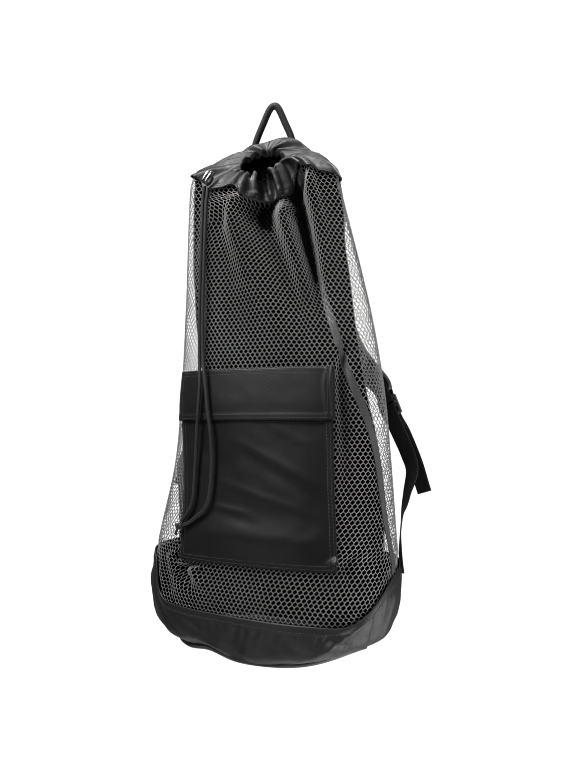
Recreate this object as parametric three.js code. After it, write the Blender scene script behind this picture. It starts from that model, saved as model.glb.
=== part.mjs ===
// A tall drawstring backpack of net on a nylon base, hanging by its haul loop.
// Millimetres, +Z up, the front faces -Y. Heights in the tables are above the underside of the base.
import * as THREE from "three";

// Cloth and webbing
const GAP = 0.4;
const SEAM_GAP = 1.1;
const COLLAR_GAP = 3;
const SEAM_TURN = 0.4;
const NET_THICK = 1.2;
const NYLON_THICK = 1.6;
const PANEL_THICK = 3;
const TAPE_WIDTH = 9;
const TAPE_THICK = 1.2;
const TAPE_END = 0.01;
const TAPE_LIFT = 1.3;
const TAPE_FOOT = { left: 324, right: 0 };
const WEB_WIDTH = 20;
const WEB_THICK = 1.5;
const WEB_LIFT = 1.4;
const PAD_THICK = 8;

// Columns and rows of the sheets
const BASE_COLUMNS = 48;
const BASE_ROWS = 5;
const NET_ROWS = 16;
const NET_COLUMNS = { front: 17, left: 12, right: 7, back: 8 };
const POCKET_COLUMNS = 10;
const POCKET_ROWS = { body: 9, flap: 4 };
const PIPING_COLUMNS = 40;
const PAD_COLUMNS = 4;
const PAD_STEPS = 14;
const WEB_STEPS = 2;
const CORD_SIDES = 8;
const LOOP_STEPS = 36;

// Base
const BOTTOM_THICK = 2;
const ROW_CROWDING = 1.33;
const PIPING_RADIUS = 2.4;
const PIPING_SIDES = 6;
const PIPING_HEIGHT = 2.6;

// Mouth of the collar
const MOUTH_CENTRE = { x: -15, y: -1, height: 569 };
const MOUTH_HALF_WIDTH = 27;
const MOUTH_HALF_DEPTH = 18;
const MOUTH_TILT = 21.5;
const CREST_SHARE = 0.6;
const PLEAT_COUNT = 12;
const PLEAT_DEPTH = 2.6;
const PLEAT_COLUMNS = 6;
const COLLAR_ROWS = 5;

// Haul loop, an oval roll of webbing
const LOOP_WIDTH = 6.5;
const LOOP_DEPTH = 8.4;
const HANG_POINT = { x: -5.5, y: 24, height: 636 };

// Drawcord
const CORD_RADIUS = 2;
const CORD_STEPS = 38;
const KNOT = { across: -83, height: 143, forward: 8.5, radius: 5 };
const KNOT_SIDES = 10;
const LOCK = { across: -60, height: 546, forward: 12.5, tilt: 40, sides: 14 };
const LOCK_PROFILE = [
  { radius: 0, along: -8.5 },
  { radius: 4.8, along: -8.5 },
  { radius: 6, along: -5 },
  { radius: 6, along: 1.7 },
  { radius: 4.8, along: 4.2 },
  { radius: 3.3, along: 4.7 },
  { radius: 3.3, along: 7.6 },
  { radius: 0, along: 8.5 },
];

// Pocket
const POCKET_RISE = 4;
const POCKET_SEAT = 2.3;
const POCKET_ROUNDNESS = 0.6;
const POCKET_TOP = 285;
const FLAP_BOTTOM = 262;
const FLAP_TOP = 320;
const FLAP_SEAT = 2.2;

// Ladder-lock buckle
const BUCKLE = { width: 28, length: 25, thick: 3, bar: 3.4, slot: 7.4, slotWidth: 22 };

// Plan sections of the bag, each an oval with its own front and back depth, sideways sway and turn.
const SECTIONS = [
  { height: 6, halfWidth: 120, front: 82, back: 66, sway: -5, turn: 14, square: 1.95 },
  { height: 14, halfWidth: 140, front: 85, back: 70, sway: -6, turn: 14, square: 2.2 },
  { height: 30, halfWidth: 152, front: 86, back: 72, sway: -6, turn: 14, square: 2.4 },
  { height: 70, halfWidth: 158, front: 83, back: 73, sway: -5, turn: 13, square: 2.6 },
  { height: 130, halfWidth: 146, front: 78, back: 68, sway: 0, turn: 9, square: 2.6 },
  { height: 212, halfWidth: 132, front: 68, back: 58, sway: 7, turn: 6, square: 2.6 },
  { height: 300, halfWidth: 124, front: 57, back: 48, sway: 7, turn: 4, square: 2.6 },
  { height: 400, halfWidth: 115, front: 44, back: 38, sway: 3, turn: 2, square: 2.6 },
  { height: 480, halfWidth: 105, front: 34, back: 32, sway: -4, turn: 0, square: 2.6 },
  { height: 530, halfWidth: 99, front: 27, back: 28, sway: -9, turn: 0, square: 2.6 },
  { height: 575, halfWidth: 94, front: 20, back: 25, sway: -11, turn: 0, square: 2.6 },
];

// Upper edge of the base wall, by the angle round the bag (0 is the front, 90 the bag's right).
const RIM = [
  { angle: -180, height: 112 },
  { angle: -100, height: 108 },
  { angle: -66, height: 96 },
  { angle: -52, height: 72 },
  { angle: -43, height: 56 },
  { angle: -20, height: 51 },
  { angle: 0, height: 51 },
  { angle: 30, height: 51 },
  { angle: 52, height: 52 },
  { angle: 66, height: 66 },
  { angle: 82, height: 90 },
  { angle: 105, height: 106 },
  { angle: 180, height: 112 },
];

// Seam between the net and the collar, and the crest of the collar above it.
const COLLAR = [
  { angle: -180, seam: 553, crest: 604, lean: 0.3 },
  { angle: -155, seam: 555, crest: 595, lean: 0.3 },
  { angle: -126, seam: 558, crest: 583, lean: 0.3 },
  { angle: -100, seam: 561, crest: 573, lean: 0.35 },
  { angle: -80, seam: 560, crest: 569, lean: 0.45 },
  { angle: -62, seam: 557, crest: 564, lean: 0.5 },
  { angle: -52, seam: 550, crest: 560, lean: 0.53 },
  { angle: -46, seam: 539, crest: 558, lean: 0.55 },
  { angle: -40, seam: 531, crest: 557, lean: 0.57 },
  { angle: -30, seam: 530, crest: 555, lean: 0.6 },
  { angle: -20, seam: 531, crest: 554, lean: 0.65 },
  { angle: -14, seam: 535, crest: 552, lean: 0.68 },
  { angle: -10.5, seam: 531, crest: 550, lean: 0.7 },
  { angle: -7, seam: 520, crest: 549, lean: 0.7 },
  { angle: -2, seam: 518, crest: 548, lean: 0.7 },
  { angle: 4, seam: 519, crest: 550, lean: 0.7 },
  { angle: 10, seam: 523, crest: 555, lean: 0.7 },
  { angle: 14.5, seam: 529, crest: 559, lean: 0.69 },
  { angle: 18, seam: 545, crest: 562, lean: 0.67 },
  { angle: 22, seam: 556, crest: 565, lean: 0.65 },
  { angle: 30, seam: 550, crest: 567, lean: 0.6 },
  { angle: 45, seam: 543.5, crest: 568, lean: 0.5 },
  { angle: 60, seam: 539, crest: 566, lean: 0.45 },
  { angle: 90, seam: 539, crest: 562, lean: 0.35 },
  { angle: 124, seam: 544, crest: 570, lean: 0.3 },
  { angle: 149, seam: 548, crest: 590, lean: 0.3 },
  { angle: 167, seam: 551, crest: 605, lean: 0.3 },
  { angle: 180, seam: 553, crest: 604, lean: 0.3 },
];

// Seams of the net. The right one runs from the side of the base to the front of the mouth, and the
// left one straight down under the pocket.
const SIDE_SEAMS = [
  { height: 20, left: -27, right: 90 },
  { height: 104, left: -28, right: 88 },
  { height: 166, left: -29, right: 78 },
  { height: 231, left: -31, right: 69.5 },
  { height: 294, left: -33, right: 52 },
  { height: 330, left: -35, right: 43.5 },
  { height: 365, left: -36, right: 37 },
  { height: 400, left: -38, right: 31.5 },
  { height: 480, left: -42, right: 25 },
  { height: 575, left: -47, right: 21 },
];

// Back panel: half width and how far its middle is off the bag's own middle.
const PANEL = [
  { height: 100, halfWidth: 110, shift: 10 },
  { height: 173, halfWidth: 108, shift: 8 },
  { height: 232, halfWidth: 104, shift: 3 },
  { height: 293, halfWidth: 98.5, shift: -3.5 },
  { height: 373, halfWidth: 96, shift: -10 },
  { height: 440, halfWidth: 94.5, shift: -10.5 },
  { height: 480, halfWidth: 94, shift: -9 },
  { height: 530, halfWidth: 95, shift: -2 },
  { height: 560, halfWidth: 94, shift: 0 },
];

// Folds of the net. Each is deepest at its root and dies out at its tip.
const FOLDS = [
  { rootHeight: 520, tipHeight: 430, rootAngle: -2, tipAngle: -5, width: 8, depth: -9 },
  { rootHeight: 545, tipHeight: 340, rootAngle: 15, tipAngle: 33, width: 8, depth: -13 },
  { rootHeight: 520, tipHeight: 360, rootAngle: -22, tipAngle: -12, width: 14, depth: 8 },
  { rootHeight: 500, tipHeight: 380, rootAngle: 6, tipAngle: 10, width: 6, depth: 6 },
  { rootHeight: 520, tipHeight: 330, rootAngle: 31, tipAngle: 44, width: 7, depth: 5 },
  { rootHeight: 540, tipHeight: 380, rootAngle: -50, tipAngle: -56, width: 9, depth: -5 },
  { rootHeight: 50, tipHeight: 230, rootAngle: 50, tipAngle: 44, width: 10, depth: 5 },
  { rootHeight: 75, tipHeight: 125, rootAngle: -32, tipAngle: -40, width: 7, depth: -5 },
];

// Pocket outline: where its left and right edges lie, measured across the bag.
const POCKET_EDGES = [
  { height: 105, left: -78.5, right: 112 },
  { height: 150, left: -83, right: 101 },
  { height: 200, left: -93.5, right: 90 },
  { height: 262, left: -105, right: 83 },
  { height: 320, left: -107.5, right: 79.5 },
];

// Hanging runs of the drawcord: height, place across the bag, and how far in front of its surface.
const CORD_LEFT = [
  { height: 538, across: -66.5, forward: 9 },
  { height: 523, across: -69.7, forward: 8 },
  { height: 493, across: -72.6, forward: 8 },
  { height: 451, across: -75.9, forward: 8 },
  { height: 403, across: -78.7, forward: 8 },
  { height: 362, across: -78.7, forward: 8 },
  { height: 332, across: -76.9, forward: 9 },
  { height: 303, across: -73.4, forward: 11.5 },
  { height: 275, across: -73.7, forward: 12 },
  { height: 252, across: -74.2, forward: 11 },
  { height: 224, across: -73.3, forward: 10 },
  { height: 196, across: -70.9, forward: 10 },
  { height: 177, across: -68.8, forward: 9.5 },
  { height: 164, across: -70.8, forward: 9 },
  { height: 155, across: -76, forward: 8.5 },
  { height: 148.4, across: -80.8, forward: 8.5 },
];
const CORD_RIGHT = [
  { height: 535, across: -61.2, forward: 8.6 },
  { height: 519, across: -65, forward: 8 },
  { height: 492, across: -68.1, forward: 8 },
  { height: 450, across: -71.4, forward: 8 },
  { height: 402, across: -74.2, forward: 8 },
  { height: 361, across: -74.2, forward: 8 },
  { height: 332, across: -71.6, forward: 9 },
  { height: 303, across: -65.5, forward: 11.5 },
  { height: 274, across: -60, forward: 12 },
  { height: 250, across: -54.6, forward: 11.5 },
  { height: 224, across: -50.5, forward: 10.5 },
  { height: 194, across: -47.1, forward: 10.5 },
  { height: 176, across: -46.5, forward: 10 },
  { height: 164, across: -50.5, forward: 9.5 },
  { height: 154, across: -61, forward: 9 },
  { height: 147.5, across: -70, forward: 8.5 },
  { height: 144.6, across: -77.4, forward: 8.5 },
];

// Middle line of the haul loop.
const LOOP_LINE = [
  { x: -39, y: 31.1, height: 566 },
  { x: -38.5, y: 30.6, height: 588 },
  { x: -34, y: 28.8, height: 606 },
  { x: -24, y: 26.5, height: 626 },
  { x: -14.5, y: 24.4, height: 642.3 },
  { x: -11.3, y: 24, height: 645.3 },
  { x: -8.5, y: 24, height: 646 },
  { x: -5.7, y: 24, height: 645.3 },
  { x: -2.7, y: 24.4, height: 641.5 },
  { x: 4.5, y: 26.5, height: 625 },
  { x: 11.5, y: 28.8, height: 608 },
  { x: 15.5, y: 30.6, height: 588 },
  { x: 16, y: 31.1, height: 566 },
];

// Right shoulder strap: middle line, width, and the way it faces, in degrees from +Y towards +X.
const PAD_LINE = [
  { x: 34, y: 32.7, height: 546, face: 0, width: 52 },
  { x: 38, y: 41, height: 510, face: 3, width: 52 },
  { x: 44, y: 51, height: 462, face: 8, width: 50 },
  { x: 52, y: 60, height: 419, face: 12, width: 46 },
  { x: 65, y: 75, height: 366, face: 12, width: 40 },
  { x: 82, y: 91, height: 336, face: 14, width: 32 },
];
const PAD_END = [
  { along: 30, width: 24 },
  { along: 22, width: 22 },
];
const WEB_LINE = [
  { x: 146, y: 77, height: 222, face: 24 },
  { x: 152, y: 72, height: 203, face: 34 },
  { x: 147, y: 63, height: 174, face: 56 },
  { x: 143, y: 54, height: 148, face: 72 },
];
const WEB_SEAT = [
  { angle: 107, height: 118 },
  { angle: 107, height: 92 },
];
const TAIL_LINE = [
  { x: 137, y: 91, height: 250, face: 20 },
  { x: 149, y: 91, height: 222, face: 22 },
  { x: 155, y: 90, height: 206, face: 22 },
  { x: 160, y: 89, height: 190, face: 24 },
  { x: 165, y: 88, height: 174, face: 26 },
];
const TAB = { before: 3, hold: 9 };
const BUCKLE_CENTRE = { x: 122, y: 86, height: 279, face: 20 };
const STRAP_WAY = { x: -21, height: 45 };

const radians = THREE.MathUtils.degToRad;
const lerp = THREE.MathUtils.lerp;
const smoothstep = THREE.MathUtils.smoothstep;

// A smooth curve through one column of a table.
function column(table, key, name, at) {
  const last = table.length - 1;
  const place = THREE.MathUtils.clamp(at, table[0][key], table[last][key]);
  let i = 0;
  while (i < last - 1 && place > table[i + 1][key]) {
    i += 1;
  }
  const slope = (k) => {
    const low = table[Math.max(k - 1, 0)];
    const high = table[Math.min(k + 1, last)];
    return (high[name] - low[name]) / (high[key] - low[key]);
  };
  const span = table[i + 1][key] - table[i][key];
  const t = (place - table[i][key]) / span;
  const rise = t * t * (3 - 2 * t);
  const start = t * (1 - t) * (1 - t) * span * slope(i);
  const end = t * t * (t - 1) * span * slope(i + 1);
  return lerp(table[i][name], table[i + 1][name], rise) + start + end;
}

const section = (name, height) => column(SECTIONS, "height", name, height);
const power = (value, exponent) => Math.sign(value) * Math.abs(value) ** exponent;
const rimHeight = (angle) => column(RIM, "angle", "height", angle);
const collarSeam = (angle) => column(COLLAR, "angle", "seam", angle);
const seamAngle = (side, height) => column(SIDE_SEAMS, "height", side, height);

// A point of the bag's plain form at an angle and a height, moved forward from its surface.
function bodyPoint(angle, height, forward = 0) {
  const bend = 2 / section("square", height);
  const side = section("halfWidth", height) * power(Math.sin(radians(angle)), bend);
  const ahead = power(Math.cos(radians(angle)), bend);
  const deep = -ahead * section(ahead > 0 ? "front" : "back", height) - forward;
  const turn = radians(section("turn", height));
  const x = section("sway", height) + side * Math.cos(turn) + deep * Math.sin(turn);
  const y = deep * Math.cos(turn) - side * Math.sin(turn);
  return new THREE.Vector3(x, y, height);
}

// The angle of a point of the front that lies a given way across the bag.
function angleAcross(across, height) {
  const share = across / section("halfWidth", height);
  const sine = power(share, section("square", height) / 2);
  return THREE.MathUtils.radToDeg(Math.asin(THREE.MathUtils.clamp(sine, -1, 1)));
}

function frontPoint({ across, height, forward }) {
  return bodyPoint(angleAcross(across, height), height, forward);
}

function bodyNormal(angle, height) {
  const step = 2;
  const along = bodyPoint(angle + step, height).sub(bodyPoint(angle - step, height));
  const up = bodyPoint(angle, height + step).sub(bodyPoint(angle, height - step));
  return along.cross(up).normalize();
}

function foldLift(angle, height) {
  let lift = 0;
  for (const fold of FOLDS) {
    const t = THREE.MathUtils.clamp((height - fold.tipHeight) / (fold.rootHeight - fold.tipHeight), 0, 1);
    const offset = (angle - lerp(fold.tipAngle, fold.rootAngle, t)) / fold.width;
    lift += fold.depth * smoothstep(t, 0, 1) * Math.exp(-offset * offset);
  }
  return lift;
}

// A point of the folded cloth, lifted off its surface.
function clothPoint(angle, height, lift = 0) {
  const normal = bodyNormal(angle, height);
  return bodyPoint(angle, height).addScaledVector(normal, foldLift(angle, height) + lift);
}

// A sheet of points in columns and rows, open or closed round.
function gridSheet(columns, rows, closed, point) {
  const across = closed ? columns : columns + 1;
  const points = [];
  const faces = [];
  for (let j = 0; j <= rows; j += 1) {
    for (let i = 0; i < across; i += 1) {
      points.push(point(i / columns, j / rows));
    }
  }
  for (let j = 0; j < rows; j += 1) {
    for (let i = 0; i < columns; i += 1) {
      const a = j * across + i;
      const b = j * across + ((i + 1) % across);
      faces.push([a, b, b + across], [a, b + across, a + across]);
    }
  }
  return { points, faces };
}

function solidGeometry(points, faces) {
  const geometry = new THREE.BufferGeometry();
  const places = points.flatMap((p) => p.toArray());
  geometry.setAttribute("position", new THREE.Float32BufferAttribute(places, 3));
  geometry.setIndex(faces.flat());
  geometry.computeVertexNormals();
  return geometry;
}

// Gives a sheet its thickness, half on each side, and closes its edges.
function thicken({ points, faces }, thickness) {
  const normals = points.map(() => new THREE.Vector3());
  const edges = new Set();
  for (const face of faces) {
    const [a, b, c] = face.map((index) => points[index]);
    const normal = b.clone().sub(a).cross(c.clone().sub(a));
    face.forEach((index, k) => {
      normals[index].add(normal);
      edges.add(`${index} ${face[(k + 1) % 3]}`);
    });
  }
  normals.forEach((normal) => normal.normalize());
  const half = thickness / 2;
  const shifted = (side) => points.map((p, i) => p.clone().addScaledVector(normals[i], side * half));
  const count = points.length;
  const walls = [];
  for (const edge of edges) {
    const [a, b] = edge.split(" ").map(Number);
    if (!edges.has(`${b} ${a}`)) {
      walls.push([b, a, a + count], [b, a + count, b + count]);
    }
  }
  const inner = faces.map(([a, b, c]) => [c + count, b + count, a + count]);
  return solidGeometry([...shifted(1), ...shifted(-1)], [...faces, ...inner, ...walls]);
}

// A round or oval tube along a smooth line.
function tube(line, width, depth, steps) {
  const outline = [];
  for (let i = 0; i < CORD_SIDES; i += 1) {
    const turn = (2 * Math.PI * (i + 0.5)) / CORD_SIDES;
    outline.push(new THREE.Vector2(Math.cos(turn) * depth / 2, Math.sin(turn) * width / 2));
  }
  const path = new THREE.CatmullRomCurve3(line);
  const options = { steps, extrudePath: path, bevelEnabled: false };
  return new THREE.ExtrudeGeometry(new THREE.Shape(outline), options);
}

// A flat strap along a line whose rows give its width and the way it faces.
function ribbonSheet(line) {
  const path = new THREE.CatmullRomCurve3(line.map((row) => new THREE.Vector3(row.x, row.y, row.height)));
  const share = (name, t) => {
    const at = t * (line.length - 1);
    const i = Math.min(Math.floor(at), line.length - 2);
    return lerp(line[i][name], line[i + 1][name], at - i);
  };
  return gridSheet(PAD_COLUMNS, PAD_STEPS, false, (u, v) => {
    const face = radians(share("face", v));
    const facing = new THREE.Vector3(Math.sin(face), Math.cos(face), 0);
    const across = path.getTangent(v).cross(facing).normalize();
    return path.getPoint(v).addScaledVector(across, (u - 0.5) * share("width", v));
  });
}

const bag = new THREE.Group();
bag.name = "mesh_backpack";

function add(name, geometry, color) {
  geometry.translate(-HANG_POINT.x, -HANG_POINT.y, -HANG_POINT.height);
  const roughness = 0.8;
  const mesh = new THREE.Mesh(geometry, new THREE.MeshStandardMaterial({ color, roughness }));
  mesh.name = name;
  bag.add(mesh);
}

const NYLON = 0x202022;
const NET = 0x3a3a3c;
const WEBBING = 0x18181a;
const PLASTIC = 0x0c0c0d;

// Base: a flat panel, a piping round it, and the nylon wall that bulges over the piping.
function baseOutline(inset, count) {
  const outline = [];
  for (let i = 0; i < count; i += 1) {
    const edge = bodyPoint((360 * i) / count - 180, SECTIONS[0].height);
    const middle = new THREE.Vector3(SECTIONS[0].sway, 0, edge.z);
    outline.push(edge.addScaledVector(edge.clone().sub(middle).setZ(0).normalize(), -inset));
  }
  return outline;
}

function bottomPanel() {
  const inset = PIPING_RADIUS + 2 * GAP;
  const outline = baseOutline(inset, BASE_COLUMNS).map((p) => new THREE.Vector2(p.x, p.y));
  return new THREE.ExtrudeGeometry(new THREE.Shape(outline), { depth: BOTTOM_THICK, bevelEnabled: false });
}

function basePiping() {
  const line = baseOutline(0, PIPING_COLUMNS).map((p) => p.setZ(PIPING_HEIGHT));
  return solidGeometry(...ringTube(line, PIPING_RADIUS, PIPING_SIDES));
}

// The points and faces of a round tube along a closed level line.
function ringTube(line, radius, sides) {
  const sheet = gridSheet(line.length, sides, true, (u, v) => {
    const i = Math.round(u * line.length);
    const next = line[(i + 1) % line.length];
    const before = line[(i + line.length - 1) % line.length];
    const along = next.clone().sub(before);
    const out = new THREE.Vector3(along.y, -along.x, 0).normalize();
    const turn = 2 * Math.PI * v;
    const rise = new THREE.Vector3(0, 0, radius * Math.sin(turn));
    return line[i].clone().addScaledVector(out, radius * Math.cos(turn)).add(rise);
  });
  const ring = sheet.points.slice(0, line.length * sides);
  return [ring, sheet.faces.map((face) => face.map((index) => index % ring.length))];
}

function baseWall() {
  const start = SECTIONS[0].height;
  return gridSheet(BASE_COLUMNS, BASE_ROWS, true, (u, v) => {
    const angle = 360 * u - 180;
    const height = lerp(start, rimHeight(angle), v ** ROW_CROWDING);
    return bodyPoint(angle, height);
  });
}

const wrapped = (angle) => (angle > 180 ? angle - 360 : angle);

// The angle and height of a point a share of the way up an edge, from the base to the collar.
function edgePlace(edge, share) {
  let angle = edge(lerp(rimHeight(180), collarSeam(180), share));
  let height = 0;
  for (let pass = 0; pass < 4; pass += 1) {
    const turn = wrapped(angle);
    height = lerp(rimHeight(turn) + SEAM_GAP, collarSeam(turn) - COLLAR_GAP, share);
    angle = edge(height);
  }
  return { angle, height };
}

// A net or cloth panel between two edges, each an angle by height, from the base to the collar.
function wallPanel(columns, leftEdge, rightEdge) {
  return gridSheet(columns, NET_ROWS, false, (u, v) => {
    const angle = wrapped(lerp(edgePlace(leftEdge, v).angle, edgePlace(rightEdge, v).angle, u));
    return clothPoint(angle, lerp(rimHeight(angle) + SEAM_GAP, collarSeam(angle) - COLLAR_GAP, v));
  });
}

function panelAngle(height, side) {
  const shift = side * column(PANEL, "height", "shift", height);
  const reach = column(PANEL, "height", "halfWidth", height) + shift;
  const share = reach / section("halfWidth", height);
  const sine = Math.min(share, 0.99) ** (section("square", height) / 2);
  return side * (180 - THREE.MathUtils.radToDeg(Math.asin(sine)));
}

// Strip of tape on the outside of a side seam. The left one ends above the pocket flap.
function seamTape(side) {
  const lift = NET_THICK / 2 + TAPE_LIFT + TAPE_THICK / 2;
  const edge = (level) => seamAngle(side, level);
  const low = Math.max(edgePlace(edge, TAPE_END).height, TAPE_FOOT[side]);
  const high = edgePlace(edge, 1 - TAPE_END).height;
  return gridSheet(2, NET_ROWS, false, (u, v) => {
    const height = lerp(low, high, v);
    const angle = edge(height);
    const perDegree = clothPoint(angle + 1, height).distanceTo(clothPoint(angle - 1, height)) / 2;
    return clothPoint(angle + (u - 0.5) * TAPE_WIDTH / perDegree, height, lift);
  });
}

// Collar: from the seam up over its crest and down into the drawn mouth, in pleats.
function collar() {
  return gridSheet(PLEAT_COUNT * PLEAT_COLUMNS, COLLAR_ROWS, true, (u, v) => {
    const angle = 360 * u - 180;
    const turn = radians(angle);
    const foot = clothPoint(angle, collarSeam(angle));
    const lip = new THREE.Vector3(
      MOUTH_CENTRE.x + MOUTH_HALF_WIDTH * Math.sin(turn),
      MOUTH_CENTRE.y - MOUTH_HALF_DEPTH * Math.cos(turn),
      MOUTH_CENTRE.height - MOUTH_TILT * Math.cos(turn),
    );
    const crest = foot.clone().lerp(lip, column(COLLAR, "angle", "lean", angle));
    crest.z = column(COLLAR, "angle", "crest", angle);
    const s = CREST_SHARE;
    const point = foot.multiplyScalar((v - s) * (v - 1) / s);
    point.addScaledVector(crest, v * (v - 1) / (s * (s - 1)));
    point.addScaledVector(lip, v * (v - s) / (1 - s));
    const outward = new THREE.Vector3(Math.sin(turn), -Math.cos(turn), 0);
    return point.addScaledVector(outward, PLEAT_DEPTH * v * Math.sin(PLEAT_COUNT * turn));
  });
}

// Pocket and flap lie on the front of the net.
function pocketLift(u) {
  return POCKET_SEAT + POCKET_RISE * Math.sin(Math.PI * u) ** POCKET_ROUNDNESS;
}

function pocketSheet(rows, bottom, top, lift) {
  const edge = (name, height) => column(POCKET_EDGES, "height", name, height);
  return gridSheet(POCKET_COLUMNS, rows, false, (u, v) => {
    const height = lerp(bottom, top, v);
    const across = lerp(edge("left", height), edge("right", height), u);
    return clothPoint(angleAcross(across, height), height, lift(u, v));
  });
}

function pocket() {
  return pocketSheet(POCKET_ROWS.body, POCKET_EDGES[0].height, POCKET_TOP, pocketLift);
}

function pocketFlap() {
  const seat = (u, v) => lerp(pocketLift(u) + FLAP_SEAT, POCKET_SEAT, smoothstep(v, 0.5, 1));
  return pocketSheet(POCKET_ROWS.flap, FLAP_BOTTOM, FLAP_TOP, seat);
}

// Cord lock: a barrel with a push button, lying on the collar.
function cordLock() {
  const profile = LOCK_PROFILE.map(({ radius, along }) => new THREE.Vector2(radius, along));
  const lock = new THREE.LatheGeometry(profile, LOCK.sides);
  lock.rotateX(Math.PI / 2);
  lock.rotateY(radians(LOCK.tilt));
  const spot = frontPoint(LOCK);
  return lock.translate(spot.x, spot.y, spot.z);
}

function cordKnot() {
  const knot = new THREE.SphereGeometry(KNOT.radius, KNOT_SIDES, KNOT_SIDES);
  const spot = frontPoint(KNOT);
  return knot.translate(spot.x, spot.y, spot.z);
}

// The buckle's own frame: across it, along the strap, and out of its face.
function buckleFrame() {
  const face = radians(BUCKLE_CENTRE.face);
  const out = new THREE.Vector3(Math.sin(face), Math.cos(face), 0);
  const along = new THREE.Vector3(STRAP_WAY.x, 0, STRAP_WAY.height);
  along.addScaledVector(out, -along.dot(out)).normalize();
  const place = new THREE.Matrix4().makeBasis(along.clone().cross(out), along, out);
  return place.setPosition(BUCKLE_CENTRE.x, BUCKLE_CENTRE.y, BUCKLE_CENTRE.height);
}

const inBuckle = (along, out) => new THREE.Vector3(0, along, out).applyMatrix4(buckleFrame());
const acrossBuckle = () => new THREE.Vector3().setFromMatrixColumn(buckleFrame(), 0);

function ladderLock() {
  const { width, length, thick, bar, slot, slotWidth } = BUCKLE;
  const plate = new THREE.Shape([
    new THREE.Vector2(-width / 2, -length / 2),
    new THREE.Vector2(width / 2, -length / 2),
    new THREE.Vector2(width / 2, length / 2),
    new THREE.Vector2(-width / 2, length / 2),
  ]);
  for (const low of [bar / 2, -bar / 2 - slot]) {
    plate.holes.push(new THREE.Path([
      new THREE.Vector2(-slotWidth / 2, low),
      new THREE.Vector2(-slotWidth / 2, low + slot),
      new THREE.Vector2(slotWidth / 2, low + slot),
      new THREE.Vector2(slotWidth / 2, low),
    ]));
  }
  const lock = new THREE.ExtrudeGeometry(plate, { depth: thick, bevelEnabled: false });
  return lock.translate(0, 0, -thick / 2).applyMatrix4(buckleFrame());
}

// Points of a turn round one of the buckle's bars.
const TURN_STEP = 30;
const TURN_RADIUS = Math.hypot(BUCKLE.bar, BUCKLE.thick) / 2 + GAP + WEB_THICK / 2;

function barTurn(barPlace, towards) {
  const turn = [];
  for (let degrees = -90; degrees <= 90; degrees += TURN_STEP) {
    const along = barPlace + towards * TURN_RADIUS * Math.cos(radians(degrees));
    turn.push(inBuckle(along, TURN_RADIUS * Math.sin(radians(degrees))));
  }
  return turn;
}

// A strip of webbing through points, with the way across it given at each.
function stripSheet(points, ways) {
  const last = points.length - 1;
  return gridSheet(2, last, false, (u, v) => {
    const i = Math.round(v * last);
    return points[i].clone().addScaledVector(ways[i], (u - 0.5) * WEB_WIDTH);
  });
}

// Loop of webbing that holds the top bar of the buckle to the end of the pad.
function strapTab() {
  const bar = BUCKLE.bar + BUCKLE.slot;
  const near = PAD_END.at(-1).along - TAB.before;
  const clear = PAD_THICK / 2 + GAP + WEB_THICK / 2;
  const points = [
    inBuckle(near + TAB.hold, -clear),
    inBuckle(near, -clear),
    ...barTurn(bar, -1),
    inBuckle(near, clear),
    inBuckle(near + TAB.hold, clear),
  ];
  return thicken(stripSheet(points, points.map(acrossBuckle)), WEB_THICK);
}

// A smooth run of webbing rows, as points and the ways across them.
function webRun(rows) {
  const steps = WEB_STEPS * (rows.length - 1);
  const curve = new THREE.CatmullRomCurve3(rows.map((row) => row.point));
  const points = [];
  const ways = [];
  for (let k = 0; k <= steps; k += 1) {
    const at = (k / steps) * (rows.length - 1);
    const i = Math.min(Math.floor(at), rows.length - 2);
    const face = radians(lerp(rows[i].face, rows[i + 1].face, at - i));
    const facing = new THREE.Vector3(Math.sin(face), Math.cos(face), 0);
    const way = curve.getTangent(k / steps).cross(facing).normalize();
    points.push(curve.getPoint(k / steps));
    ways.push(way.multiplyScalar(Math.sign(way.dot(acrossBuckle()))));
  }
  return { points, ways };
}

// Lower webbing: up from its seat on the base, round the buckle's middle bar and down again as a tail.
function strapWeb(side) {
  const guide = BUCKLE.length / 2 + BUCKLE.bar;
  const start = BUCKLE.bar / 2;
  const clear = TURN_RADIUS + GAP;
  const face = BUCKLE_CENTRE.face;
  const lift = NYLON_THICK / 2 + WEB_LIFT + WEB_THICK / 2;
  const seats = WEB_SEAT.map(({ angle, height }) => {
    const point = bodyPoint(side * angle, height).addScaledVector(bodyNormal(side * angle, height), lift);
    const normal = bodyNormal(side * angle, height);
    const facing = THREE.MathUtils.radToDeg(Math.atan2(side * normal.x, normal.y));
    return { point: point.setX(side * point.x), face: facing };
  });
  const placed = (row) => ({ point: new THREE.Vector3(row.x, row.y, row.height), face: row.face });
  const up = webRun([
    ...seats.reverse(),
    ...WEB_LINE.map(placed).reverse(),
    { point: inBuckle(-guide, -clear), face },
    { point: inBuckle(-start, -TURN_RADIUS), face },
  ]);
  const turn = barTurn(0, 1);
  const down = webRun([
    { point: inBuckle(-start, TURN_RADIUS), face },
    { point: inBuckle(-guide, clear), face },
    ...TAIL_LINE.map(placed),
  ]);
  const points = [...up.points, ...turn, ...down.points];
  return thicken(stripSheet(points, [...up.ways, ...turn.map(acrossBuckle), ...down.ways]), WEB_THICK);
}

// Padded strap, from the top of the back panel down to the buckle.
function strapPad() {
  const end = PAD_END.map(({ along, width }) => {
    const point = inBuckle(along, 0);
    return { x: point.x, y: point.y, height: point.z, face: BUCKLE_CENTRE.face, width };
  });
  return thicken(ribbonSheet([...PAD_LINE, ...end]), PAD_THICK);
}

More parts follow.
